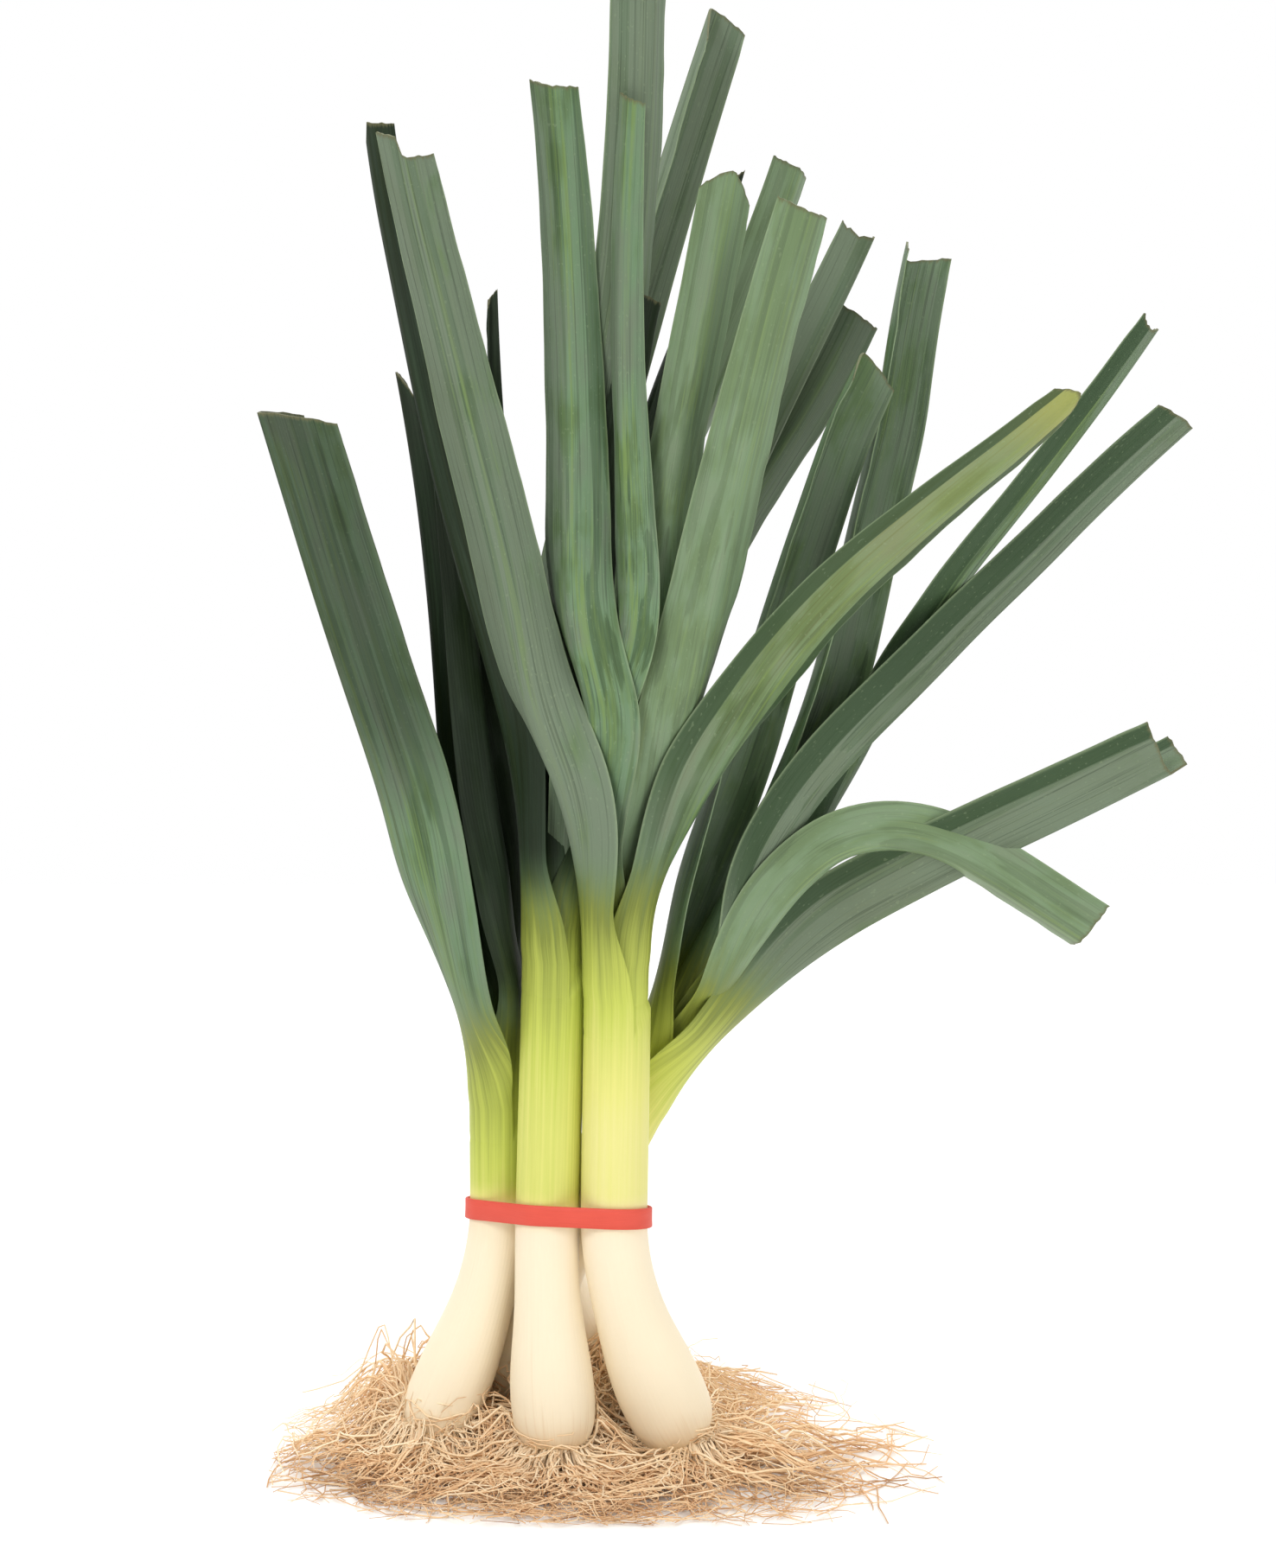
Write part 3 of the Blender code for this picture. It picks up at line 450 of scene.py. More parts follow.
class Graph:
    """The shader nodes of a new material or world."""

    def __init__(self, owner: Material | bpy.types.World) -> None:
        """Starts with no nodes.

        Args:
            owner: What the nodes belong to.
        """
        self.owner = owner
        owner.use_nodes = True
        self.tree = owner.node_tree
        self.tree.nodes.clear()

    def node(self, kind: str, settings: dict | None = None, sockets: dict | None = None) -> Outputs:
        """Adds one node.

        Args:
            kind: Its type.
            settings: Its properties, which are set first. "stops" holds a ramp's (place, colour) pairs.
            sockets: The value or link of each input, by name, identifier or number.

        Returns:
            The node's outputs.
        """
        made = self.tree.nodes.new(kind)
        for key, value in (settings or {}).items():
            if key == "stops":
                self._set_stops(made.color_ramp, value)
            else:
                setattr(made, key, value)
        for key, value in (sockets or {}).items():
            target = made.inputs[key] if isinstance(key, int) else self._input(made, key)
            if isinstance(value, Socket):
                self.tree.links.new(value.link, target)
            else:
                target.default_value = value
        return Outputs(self, made)

    @staticmethod
    def _input(made: bpy.types.Node, key: str) -> bpy.types.NodeSocket:
        """An input by its identifier, or else by its name."""
        by_identifier = [s for s in made.inputs if s.identifier == key]
        return (by_identifier or [s for s in made.inputs if s.name == key])[0]

    @staticmethod
    def _set_stops(ramp: bpy.types.ColorRamp, stops: Iterable[tuple[float, tuple]]) -> None:
        """Gives a colour ramp its stops.

        Args:
            ramp: The ramp.
            stops: Places and colours.
        """
        stops = list(stops)
        while len(ramp.elements) < len(stops):
            ramp.elements.new(1.0)
        for element, (place, colour) in zip(ramp.elements, stops):
            element.position = place
            element.color = (*colour, 1)

    def attribute(self, name: str) -> Socket:
        """The vector that the mesh keeps under a name."""
        return self.node("ShaderNodeAttribute", {"attribute_name": name})["Vector"]

    def parts(self, vector: Socket) -> tuple[Socket, Socket, Socket]:
        """The three numbers of a vector."""
        split = self.node("ShaderNodeSeparateXYZ", sockets={"Vector": vector})
        return split["X"], split["Y"], split["Z"]

    def stretched(self, vector: Socket, scale: tuple[float, float, float]) -> Socket:
        """A vector with each axis scaled."""
        settings = {"operation": "MULTIPLY"}
        return self.node("ShaderNodeVectorMath", settings, {0: vector, 1: scale})["Vector"]

    def noise(self, vector: Socket, scale: float = 1.0, detail: float = 2.0) -> Socket:
        """Smooth noise from 0 to 1 at a vector."""
        sockets = {"Vector": vector, "Scale": scale, "Detail": detail, "Roughness": 0.55}
        return self.node("ShaderNodeTexNoise", sockets=sockets)["Fac"]

    def ranged(self, value: Socket, low: float, high: float, to: tuple = (0.0, 1.0)) -> Socket:
        """A value mapped smoothly from one range to another, and held beyond it.

        Args:
            value: The value.
            low: Where the range starts.
            high: Where it ends.
            to: The range that it is mapped to.

        Returns:
            The mapped value.
        """
        settings = {"interpolation_type": "SMOOTHSTEP"}
        sockets = {"Value": value, "From Min": low, "From Max": high, "To Min": to[0], "To Max": to[1]}
        return self.node("ShaderNodeMapRange", settings, sockets)["Result"]

    def mix(self, first: Socket | tuple, second: Socket | tuple, share: Socket | float) -> Socket:
        """A colour between two others.

        Args:
            first: The colour at 0.
            second: The colour at 1.
            share: How far to go.

        Returns:
            The mixed colour.
        """
        first, second = (c if isinstance(c, Socket) else (*c, 1) for c in (first, second))
        sockets = {"Factor_Float": share, "A_Color": first, "B_Color": second}
        return self.node("ShaderNodeMix", {"data_type": "RGBA"}, sockets)["Result"]

    def layered(self, colour: Socket, layers: Iterable[tuple[tuple, Socket]]) -> Socket:
        """A colour with others laid over it in turn.

        Args:
            colour: The lowest colour.
            layers: Each further colour and its share.

        Returns:
            The colour on top.
        """
        for over, share in layers:
            colour = self.mix(colour, over, share)
        return colour

    def ramp(self, value: Socket, stops: Iterable[tuple[float, tuple]]) -> Socket:
        """The colour of a ramp at a value."""
        return self.node("ShaderNodeValToRGB", {"stops": stops}, {"Fac": value})["Color"]

    def bump(self, height: Socket, distance: float, strength: float = 1.0) -> Socket:
        """A normal that follows a height from 0 to 1."""
        sockets = {"Height": height, "Distance": distance, "Strength": strength}
        return self.node("ShaderNodeBump", sockets=sockets)["Normal"]

    def surface(self, **sockets: Socket | float | tuple) -> Material:
        """Ends the material in a Principled shader.

        Args:
            sockets: The shader's inputs, with _ for each space in a name.

        Returns:
            The finished material.
        """
        named = {key.replace("_", " "): value for key, value in sockets.items()}
        shader = self.node("ShaderNodeBsdfPrincipled", sockets=named)["BSDF"]
        self.node("ShaderNodeOutputMaterial", sockets={"Surface": shader})
        return self.owner


def tint(red: float, green: float, blue: float) -> tuple[float, float, float]:
    """A screen colour from 0 to 255 as the linear colour that shaders take."""
    shares = (value / 255 for value in (red, green, blue))
    return tuple(s / 12.92 if s <= 0.04045 else ((s + 0.055) / 1.055) ** 2.4 for s in shares)


@dataclass(frozen=True)
class SkinFinish:
    """The waxy skin of shanks and leaves, from white at the root end to grey-green at the blade."""

    name: str
    white: tuple = tint(247, 233, 204)
    cream: tuple = tint(242, 229, 178)
    yellow: tuple = tint(225, 222, 128)
    lime: tuple = tint(194, 203, 92)
    olive: tuple = tint(128, 138, 60)
    green: tuple = tint(92, 116, 76)
    bloom: tuple = tint(113, 125, 105)
    blue: tuple = tint(112, 141, 108)
    # Near black: the fine dark streaks, and painted shade on leaves deep in the bunch.
    dark_streak_and_shade: tuple = tint(14, 24, 11)
    # Darker green for the bands along the blade, which are partly painted crease shade, and painted shade in
    # the strip inside each margin.
    shade: tuple = tint(52, 74, 46)
    fresh: tuple = tint(122, 147, 80)
    straw: tuple = tint(160, 162, 82)
    edge: tuple = tint(148, 166, 128)
    dry: tuple = tint(104, 102, 72)
    tan: tuple = tint(222, 190, 146)
    vein_spacing: float = 1.6 * MM
    speck_scale: tuple = (800, 500, 40)
    fine_scale: tuple = (1000, 8, 40)
    broad_scale: tuple = (150, 1.6, 40)
    streak_scale: tuple = (420, 7, 40)
    thread_scale: tuple = (1500, 14, 40)
    cloud_scale: tuple = (60, 22, 40)

    def _blade(self, graph: Graph, base: Socket, streaks: Socket, clouds: Socket) -> tuple[Socket, Socket]:
        """The colour of a blade: streaks, a bloom of wax, painted shade and pale margins.

        Args:
            graph: The material's graph.
            base: The colour that the greenness gives.
            streaks: Noise stretched along the blade.
            clouds: Noise in long patches.

        Returns:
            The colour and how much wax lies there.
        """
        place = graph.attribute("skin_place")
        greenness, from_end, margin = graph.parts(graph.attribute("skin_state"))
        bloom, shade_share, yellowing = graph.parts(graph.attribute("skin_tone"))
        side, run, strip = graph.parts(graph.attribute("skin_fold"))
        blade = graph.ranged(greenness, 0.76, 0.98)
        specks = graph.noise(graph.stretched(place, self.speck_scale), detail=0)
        fine = graph.noise(graph.stretched(place, self.fine_scale), detail=3)
        broad = graph.noise(graph.stretched(place, self.broad_scale), detail=1)
        side = graph.ranged(side, -0.06, 0.06)

        blue = graph.ranged(clouds + side * 0.08, 0.38, 0.6) * blade
        # Crisp darker bands along the blade: partly the leaf's own streaked tone, partly painted shade of
        # creases.
        band = graph.ranged(broad, 0.53, 0.57)
        inner = 1 - graph.ranged(margin, 0.2, 0.7)
        fresh = graph.ranged(streaks + side * 0.08, 0.54, 0.72) * (0.3 + inner * 0.7)
        wax = graph.ranged(clouds + bloom * 0.42 - side * 0.1 + fine * 0.16, 0.56, 0.92) * blade
        lines = graph.ranged(fine, 0.5, 0.72) * blade
        pale = (1 - graph.ranged(bloom, 0.1, 0.3)) * (0.7 + clouds * 0.6)
        # Painted shade: leaves with a shade share darken towards near black, as the shade inside the bunch,
        # from the collar or only some way up the blade.
        shaded = shade_share * blade * (0.72 + streaks * 0.3) * graph.ranged(run + shade_share, 0.82, 0.9)
        ageing = yellowing * blade * graph.ranged(run + clouds * 0.1, 0.08, 0.34) * (0.25 + fine * 0.5)
        ageing = ageing + yellowing * (1 - graph.ranged(from_end + streaks * 0.03, 0.02, 0.07)) * 0.8
        # Painted shade: the strip inside each margin, on leaves that have one, darkens as if in the shadow
        # of the fold.
        under = graph.ranged(margin + strip + streaks * 0.04, 1.02, 1.05) * graph.ranged(run, 0.04, 0.12)
        light = graph.ranged(margin, 0.94, 1.0) * 0.5 + graph.ranged(specks, 0.74, 0.8) * 0.2
        worn = (1 - graph.ranged(from_end + fine * 0.005, 0.0024, 0.0046)) * blade
        return graph.layered(base, (
            (self.blue, blue * 0.85),
            # darker bands, partly painted crease shade
            (self.shade, band * blade * 0.5),
            (self.fresh, fresh * blade * 0.65),
            (self.bloom, wax * (0.85 - band * 0.3)),
            (self.dark_streak_and_shade, lines * 0.4),
            (self.edge, pale * blade * 0.3),
            # painted shade on shaded leaves
            (self.dark_streak_and_shade, shaded),
            (self.straw, ageing),
            # painted shade in the strip inside each margin
            (self.shade, under * blade * 0.85),
            (self.edge, light * blade * (1 - shade_share)),
            (self.dry, worn * 0.8),
        )), wax

    def material(self) -> Material:
        """Builds the shader.

        Returns:
            The material. It reads skin_place (round the leek, up it and a number for each leek),
            skin_state (greenness, distance from the cut end, share of the way to the margin),
            skin_tone (bloom, how much painted shade darkens the leaf, and yellowing) and skin_fold
            (side of the keel, distance from the collar, and the share of each half, next to its
            margin, that has painted shade).
        """
        graph = Graph(bpy.data.materials.new(self.name))
        place = graph.attribute("skin_place")
        across, along, _ = graph.parts(place)
        greenness, _, _ = graph.parts(graph.attribute("skin_state"))
        streaks = graph.noise(graph.stretched(place, self.streak_scale), detail=3)
        threads = graph.noise(graph.stretched(place, self.thread_scale))
        clouds = graph.noise(graph.stretched(place, self.cloud_scale), detail=3)

        turning = greenness + (streaks + threads * 0.4 - 0.7) * 0.36 * graph.ranged(greenness, 0.12, 0.6)
        base = graph.ramp(turning, (
            (0.0, self.white), (0.16, self.cream), (0.34, self.yellow), (0.52, self.lime),
            (0.74, self.olive), (0.96, self.green),
        ))
        pale = 1 - graph.ranged(greenness, 0.1, 0.5)
        earthy = graph.ranged(streaks + threads * 0.5, 0.78, 1.05) + (1 - graph.ranged(along, 0.016, 0.04))
        base = graph.mix(base, self.tan, pale * graph.ranged(earthy * clouds, 0.2, 0.9) * 0.4)
        colour, wax = self._blade(graph, base, streaks, clouds)
        wave = graph.node("ShaderNodeMath", {"operation": "SINE"}, {
            0: across * (math.tau / self.vein_spacing) + streaks * 4
        })["Value"]
        height = wave * 0.2 + threads * 0.5 + clouds * 0.5
        return graph.surface(
            Base_Color=colour,
            Roughness=0.44 + wax * 0.2 + threads * 0.1,
            Specular_IOR_Level=0.22,
            Normal=graph.bump(height, 0.2 * MM, 0.35),
        )


@dataclass(frozen=True)
class RootFinish:
    """Dry, wiry roots in cream, tan and brown."""

    name: str
    cream: tuple = tint(252, 233, 201)
    pale: tuple = tint(245, 215, 174)
    tan: tuple = tint(231, 190, 145)
    brown: tuple = tint(188, 141, 97)
    earth: tuple = tint(112, 74, 42)

    def material(self) -> Material:
        """Builds the shader.

        Returns:
            The material. It reads root_place (way from the base plate in 100 mm, number and height).
        """
        graph = Graph(bpy.data.materials.new(self.name))
        place = graph.attribute("root_place")
        along, _, height = graph.parts(place)
        own = graph.noise(graph.stretched(place, (2, 37, 0)), detail=1)
        blotches = graph.noise(graph.stretched(place, (22, 91, 60)), detail=2)
        # Painted shade: strands within 10 mm of the floor turn darker and browner, as the shade deep in the
        # mat.
        low = 1 - graph.ranged(height, 0.001, 0.01)
        colour = graph.ramp(own * 0.85 + blotches * 0.25 + low * 0.14 - 0.12, (
            (0.28, self.cream), (0.42, self.pale), (0.56, self.tan), (0.7, self.brown), (0.9, self.earth),
        ))
        colour = graph.mix(colour, self.cream, (1 - graph.ranged(along, 0.03, 0.22)) * 0.8)
        # Earth-brown on strands that lie low on the floor near the base plate.
        low_near_plate = (1 - graph.ranged(height, 0.0015, 0.006)) * (1 - graph.ranged(along, 0.4, 0.8))
        colour = graph.mix(colour, self.earth, low_near_plate * 0.4)
        return graph.surface(
            Base_Color=colour,
            Roughness=0.7 + blotches * 0.15,
            Specular_IOR_Level=0.3,
            Normal=graph.bump(blotches, 0.3 * MM, 0.6),
        )


@dataclass(frozen=True)
class RubberFinish:
    """Coral rubber with a faint lengthwise grain."""

    name: str
    coral: tuple = tint(232, 88, 68)
    shade: tuple = tint(208, 66, 52)

    def material(self) -> Material:
        """Builds the shader from the piece's own coordinates.

        Returns:
            The material.
        """
        graph = Graph(bpy.data.materials.new(self.name))
        place = graph.node("ShaderNodeTexCoord")["Object"]
        grain = graph.noise(graph.stretched(place, (60, 60, 2200)), detail=2)
        mottle = graph.noise(place, scale=90, detail=3)
        colour = graph.mix(self.coral, self.shade, grain * 0.5 + mottle * 0.3)
        return graph.surface(
            Base_Color=colour,
            Roughness=0.5 + mottle * 0.15,
            Normal=graph.bump(grain, 0.15 * MM, 0.5),
        )


@dataclass(frozen=True)
class FloorFinish:
    """A pale, matt studio floor."""

    name: str
    colour: tuple = (0.955, 0.955, 0.95)

    def material(self) -> Material:
        """Builds the shader, with a trace of unevenness.

        Returns:
            The material.
        """
        graph = Graph(bpy.data.materials.new(self.name))
        place = graph.node("ShaderNodeTexCoord")["Object"]
        worn = graph.noise(place, scale=6, detail=3)
        colour = graph.mix(self.colour, tuple(0.99 * c for c in self.colour), worn)
        return graph.surface(Base_Color=colour, Roughness=0.75)


@dataclass
class Piece:
    """One mesh of the bunch, with what the frame needs to know about it."""

    name: str
    points: Array
    faces: Faces
    material: Material
    slot: Slot
    stands_for: str
    attributes: dict[str, Array] = field(default_factory=dict)

    def build(self) -> bpy.types.Object:
        """Makes the object and ties it to the frame.

        Returns:
            The object, which rides on the only body and hides the node that it stands for.
        """
        mesh = bpy.data.meshes.new(self.name)
        mesh.from_pydata(self.points.reshape(-1, 3).tolist(), [], self.faces)
        for name, values in self.attributes.items():
            kept = mesh.attributes.new(name, "FLOAT_VECTOR", "POINT")
            kept.data.foreach_set("vector", values.astype(np.float32).ravel())
        work = bmesh.new()
        work.from_mesh(mesh)
        bmesh.ops.recalc_face_normals(work, faces=work.faces)
        work.to_mesh(mesh)
        work.free()
        mesh.materials.append(self.material)
        mesh.shade_smooth()
        mesh.set_sharp_from_angle(angle=math.radians(SHARP_FROM))
        made = bpy.data.objects.new(self.name, mesh)
        bpy.context.scene.collection.objects.link(made)
        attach(made, "root")
        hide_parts(self.stands_for)
        log.info("%s: %d faces", self.name, len(self.faces))
        return made


def grid_faces(rows: int, columns: int, start: int = 0, closed: bool = False) -> Faces:
    """Quads over a grid of points.

    Args:
        rows: How many rows of points there are.
        columns: How many points each has.
        start: The number of the first point.
        closed: Whether the last column joins the first.

    Returns:
        The faces.
    """
    faces = []
    for row in range(rows - 1):
        low, high = start + row * columns, start + (row + 1) * columns
        for column in range(columns if closed else columns - 1):
            beyond = (column + 1) % columns
            faces.append((low + column, low + beyond, high + beyond, high + column))
    return faces


def vectors(shape: tuple[int, ...], *values: Array | float) -> Array:
    """Vectors over a grid, from what each axis holds: a number, or an array that spreads over it."""
    return np.stack([np.broadcast_to(value, shape) for value in values], axis=-1)


def section(half_width: float, turn: float, keel: float, across: Array) -> tuple[Array, Array]:
    """A leaf's cross-section.

    Args:
        half_width: From the keel to the margin along the leaf.
        turn: How far it curls in all, in degrees.
        keel: The share of that which lies at the keel: 0 gives an arc, and 1 a sharp V.
        across: Places from -1 to 1.

    Returns:
        Sideways and inward offsets from the keel at each place.
    """
    fine = np.linspace(0, 1, SECTION_JOINTS)
    crease = np.tanh(fine / KEEL_SHARPNESS) / math.tanh(1 / KEEL_SHARPNESS)
    angle = math.radians(turn) / 2 * ((1 - keel) * fine + keel * crease)
    step = np.diff(fine)
    middle = (angle[1:] + angle[:-1]) / 2
    side = half_width * np.concatenate([[0], np.cumsum(np.cos(middle) * step)])
    inward = half_width * np.concatenate([[0], np.cumsum(np.sin(middle) * step)])
    reach = np.abs(across)
    return np.sign(across) * np.interp(reach, fine, side), np.interp(reach, fine, inward)


class LeafSurface:
    """The middle surface of a leaf, from its collar to its cut end."""

    def __init__(self, leek: LeekForm, leaf: LeafForm) -> None:
        """Traces the keel from the collar.

        Args:
            leek: The leek that it grows on.
            leaf: Its form.
        """
        self.leaf = leaf
        self.length = leaf.length * MM
        height = leaf.collar * MM
        self.ring = leek.radius_at(height - GAP) - LEAF_THICKNESS / 2
        lean, toward = leek.angles(height)
        self.along = np.linspace(0, self.length, KEEL_JOINTS)
        self.pushed = np.zeros((len(self.along), 2))
        turned = smooth(SHEATH_LENGTH, 0.5 * self.length, self.along)
        facing = leaf.keel[0] + (leaf.keel[1] - leaf.keel[0]) * turned
        self.axes = frames_of(
            self._spread(float(lean), leaf.lean), self._spread(float(toward), leaf.toward), facing
        )
        steps = np.diff(self.along)[:, None] * (self.axes[0][1:] + self.axes[0][:-1]) / 2
        start = leek.axis(height) + self.ring * self.axes[1][0]
        self.keel_line = start + np.concatenate([np.zeros((1, 3)), np.cumsum(steps, axis=0)])

    def _spread(self, first: float, values: tuple[float, ...]) -> Array:
        """An angle all along the keel.

        Args:
            first: The shank's, which holds at the collar.
            values: The leaf's own, evenly spaced.

        Returns:
            The angle at each joint of the keel.
        """
        rest = self.length - LEAN_SETTLES
        places = [0, LEAN_STARTS]
        places += [LEAN_SETTLES + rest * i / (len(values) - 1) for i in range(len(values))]
        return np.interp(self.along, places, [first, first, *values])

    def _at(self, values: Array, place: Array) -> Array:
        """Vectors of the leaf at distances along its keel."""
        return looked_up(place, self.along, values)

    def _opened(self, places: Array) -> Array:
        """How far the leaf has opened from a sheath to a blade at each place."""
        return smooth(SHEATH_LENGTH, SHEATH_LENGTH + self.leaf.opening * MM, places)

    def half_widths(self, places: Array) -> Array:
        """From the keel to the margin along the leaf.

        Args:
            places: Distances along the keel.

        Returns:
            Half the flat width at each.
        """
        narrowed = np.clip(places / self.length - TAPER_FROM, 0, None) / (1 - TAPER_FROM)
        wrapped = self.ring * math.radians(SHEATH_TURN) / 2
        half = wrapped + (self.leaf.width * MM / 2 - wrapped) * self._opened(places)
        return half * (1 - (1 - self.leaf.tip_width) * narrowed)

    def points(self, places: Array, across: Array, drop: Array | float = 0.0) -> Array:
        """Points of the surface.

        Args:
            places: Distances along the keel. One below 0 is on the sheath's way down.
            across: Places from -1 to 1 between the margins.
            drop: How much shorter the cut end is, at each place across.

        Returns:
            A grid of points, a row for each place.
        """
        leaf = self.leaf
        opening = leaf.opening * MM
        near_tip = smooth(self.length - TIP_LENGTH, self.length, places)
        near_cut = smooth(self.length - TIP_LENGTH / 2, self.length, places)
        creased = BLADE_KEEL * smooth(CREASE_FROM * opening, CREASE_FULLY * opening, places)
        flare = FLARE * smooth(SHEATH_LENGTH, SHEATH_LENGTH + FLARE_LENGTH, places)
        fold = leaf.fold[0] + (leaf.fold[1] - leaf.fold[0]) * np.clip(places, 0, None) / self.length
        turn = SHEATH_TURN + (fold - SHEATH_TURN) * self._opened(places)
        rows = zip(self.half_widths(places), turn, creased)
        side, inward = np.array([section(*row, across) for row in rows]).swapaxes(0, 1)
        slid = places[:, None] - leaf.slant * MM * (1 + across) / 2 * near_tip[:, None]
        slid = slid - np.broadcast_to(drop, across.shape) * near_cut[:, None]
        along, out, sideways = (self._at(axis, slid) for axis in self.axes)
        found = self._at(self.keel_line, slid) + side[..., None] * sideways
        found += (flare[:, None] - inward)[..., None] * out
        found += np.minimum(places, 0)[:, None, None] * along
        found[..., :2] += self._at(self.pushed, slid)
        return found

    def sections(self, levels: Array) -> tuple[Array, Array]:
        """Where each line along the leaf meets each level, up to its highest point.

        Args:
            levels: Heights.

        Returns:
            The points as (x, y), and how far along the leaf they are.
        """
        places = np.linspace(0, self.length, TRACED_ROWS)
        lines = self.points(places, np.linspace(-1, 1, ACROSS + 1)).swapaxes(0, 1)
        found = np.full((len(levels), ACROSS + 1, 2), np.nan)
        met = np.full((len(levels), ACROSS + 1), np.nan)
        for i, line in enumerate(lines):
            top = line[:, 2].argmax() + 1
            rising = np.maximum.accumulate(line[:top, 2])
            inside = (levels >= rising[0]) & (levels <= rising[-1])
            met[inside, i] = np.interp(levels[inside], rising, places[:top])
            found[inside, i] = looked_up(levels[inside], rising, line[:top, :2])
        return found, met


class Lying:
    """A leaf, or a shank if it has no surface, cut at each level into a line that others may not cross."""

    def __init__(self, leek: LeekForm, surface: LeafSurface | None, levels: Array) -> None:
        """Cuts it.

        Args:
            leek: The leek that it belongs to.
            surface: The leaf's surface.
            levels: Heights.
        """
        self.owner, self.surface = leek.name, surface
        if surface:
            self.start, self.met = surface.sections(levels)
            return
        self.start, self.met = np.full((len(levels), ACROSS + 1, 2), np.nan), None
        top = max(leaf.collar for leaf in leek.leaves) * MM
        angles = math.tau * np.arange(ACROSS + 1) / ACROSS
        for row in np.flatnonzero((levels > BAND_HEIGHT) & (levels < top)):
            radius = leek.radius_at(levels[row]) / math.cos(math.pi / ACROSS)
            ring = radius * np.stack([np.cos(angles), np.sin(angles)], axis=-1)
            self.start[row] = leek.axis(levels[row])[:2] + ring

    def lines(self) -> Array:
        """Cuts the leaf where it now lies.

        Returns:
            A row of points for each level.
        """
        if not self.surface:
            return self.start
        return self.start + looked_up(self.met, self.surface.along, self.surface.pushed)

    def give_way(self, pushes: Array) -> None:
        """Moves the leaf, less near its collar, and eases it.

        Args:
            pushes: A push for each level.
        """
        along = self.surface.along
        places = self.met[:, ACROSS // 2]
        known = ~np.isnan(places)
        most = STEEPEST_PUSH * (along[1] - along[0])
        for axis in (0, 1):
            push = np.interp(along, places[known], pushes[known, axis])
            pushed = self.surface.pushed[:, axis] + push * smooth(FREE_FROM, FREE_FULLY, along)
            padded = np.pad(pushed, EASED_OVER // 2, mode="edge")
            eased = np.convolve(padded, np.full(EASED_OVER, 1 / EASED_OVER), "valid")
            steps = np.clip(np.diff(eased), -most, most)
            steps[along[1:] < FREE_FROM] = 0
            self.surface.pushed[:, axis] = np.concatenate([[0], np.cumsum(steps)])


def turned(a: Array, b: Array) -> Array:
    """The cross product of vectors in the plane."""
    return a[..., 0] * b[..., 1] - a[..., 1] * b[..., 0]


def gaps_between(first: Array, second: Array) -> Array:
    """The distance between two lines on each row.

    Args:
        first: Rows of points.
        second: As many rows of points.

    Returns:
        The distances, which are 0 where the lines cross.
    """
    a, b = first[:, :-1, None], first[:, 1:, None]
    c, d = second[:, None, :-1], second[:, None, 1:]

    def to_segment(point: Array, start: Array, end: Array) -> Array:
        """How far points are from segments.

        Args:
            point: The points.
            start: The segments' starts.
            end: Their ends.

        Returns:
            The distances.
        """
        run = end - start
        share = ((point - start) * run).sum(-1) / np.maximum((run * run).sum(-1), 1e-12)
        return np.linalg.norm(point - start - share.clip(0, 1)[..., None] * run, axis=-1)

    nearest = np.minimum(
        np.minimum(to_segment(a, c, d), to_segment(b, c, d)),
        np.minimum(to_segment(c, a, b), to_segment(d, a, b)),
    )
    crossing = (turned(b - a, c - a) * turned(b - a, d - a) < 0) & (
        turned(d - c, a - c) * turned(d - c, b - c) < 0
    )
    nearest[crossing] = 0
    nearest[np.isnan(nearest)] = np.inf
    return nearest.min(axis=(1, 2))


def direction_of(first: Lying, second: Lying, one: Array, other: Array) -> Array:
    """The way to push: leaves of one leek straight apart, and the rest front and back.

    Args:
        first: The leaf that is pushed.
        second: The leaf that it is pushed from.
        one: Where the first lies at each level.
        other: Where the second lies.

    Returns:
        A vector for each level.
    """
    if first.owner != second.owner or first.surface.leaf.droops or second.surface.leaf.droops:
        return np.tile([0.0, -1.0], (len(one), 1))
    away = np.nanmean(one, axis=1) - np.nanmean(other, axis=1)
    return away / np.maximum(np.linalg.norm(away, axis=1, keepdims=True), 1e-9)


def settle(surfaces: dict[tuple[str, int], LeafSurface]) -> None:
    """Pushes crossing leaves apart, level by level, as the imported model's were.

    Args:
        surfaces: Each leaf's surface, by its leek's name and its number.
    """
    levels = np.arange(BAND_HEIGHT, TOP_LEVEL, LEVEL_STEP)
    leeks = {leek.name: leek for leek in LEEKS}
    lying = [
        Lying(leeks[name], surfaces.get((name, number)), levels)
        for name, numbers in FRONT_TO_BACK for number in numbers
    ]
    pairs = [
        (i, j) for i, j in combinations(range(len(lying)), 2)
        if (lying[i].surface and lying[j].surface)
        or (lying[i].owner != lying[j].owner and (lying[i].surface or lying[j].surface))
    ]
    for _ in range(SETTLING_ROUNDS):
        lines = np.array([each.lines() for each in lying])
        low = np.where(np.isnan(lines), np.inf, lines).min(axis=2)
        high = np.where(np.isnan(lines), -np.inf, lines).max(axis=2)
        pushes = np.zeros((len(lying), len(levels), 2))
        for i, j in pairs:
            touching = (low[i] < high[j] + CLEARANCE) & (low[j] < high[i] + CLEARANCE)
            rows = np.flatnonzero(touching.all(axis=1))
            if len(rows) == 0:
                continue
            one, other = lines[i, rows], lines[j, rows]
            lacking = (CLEARANCE - gaps_between(one, other)).clip(0)[:, None]
            push = lacking * direction_of(lying[i], lying[j], one, other)
            share = 0.5 if lying[i].surface and lying[j].surface else 1
            pushes[i, rows] += share * push
            pushes[j, rows] -= share * push
        for each, push in zip(lying, pushes):
            if each.surface:
                each.give_way(push)


def ripple(seed: float, reach: Array) -> Array:
    """A slow, even wave of about 1 in height that differs for each seed."""
    waves = ((1.0, 0.45), (1.9, 0.3), (3.7, 0.2), (7.3, 0.1))
    return sum(size * np.sin(rate * reach + seed * (5.1 + 2.3 * rate)) for rate, size in waves)


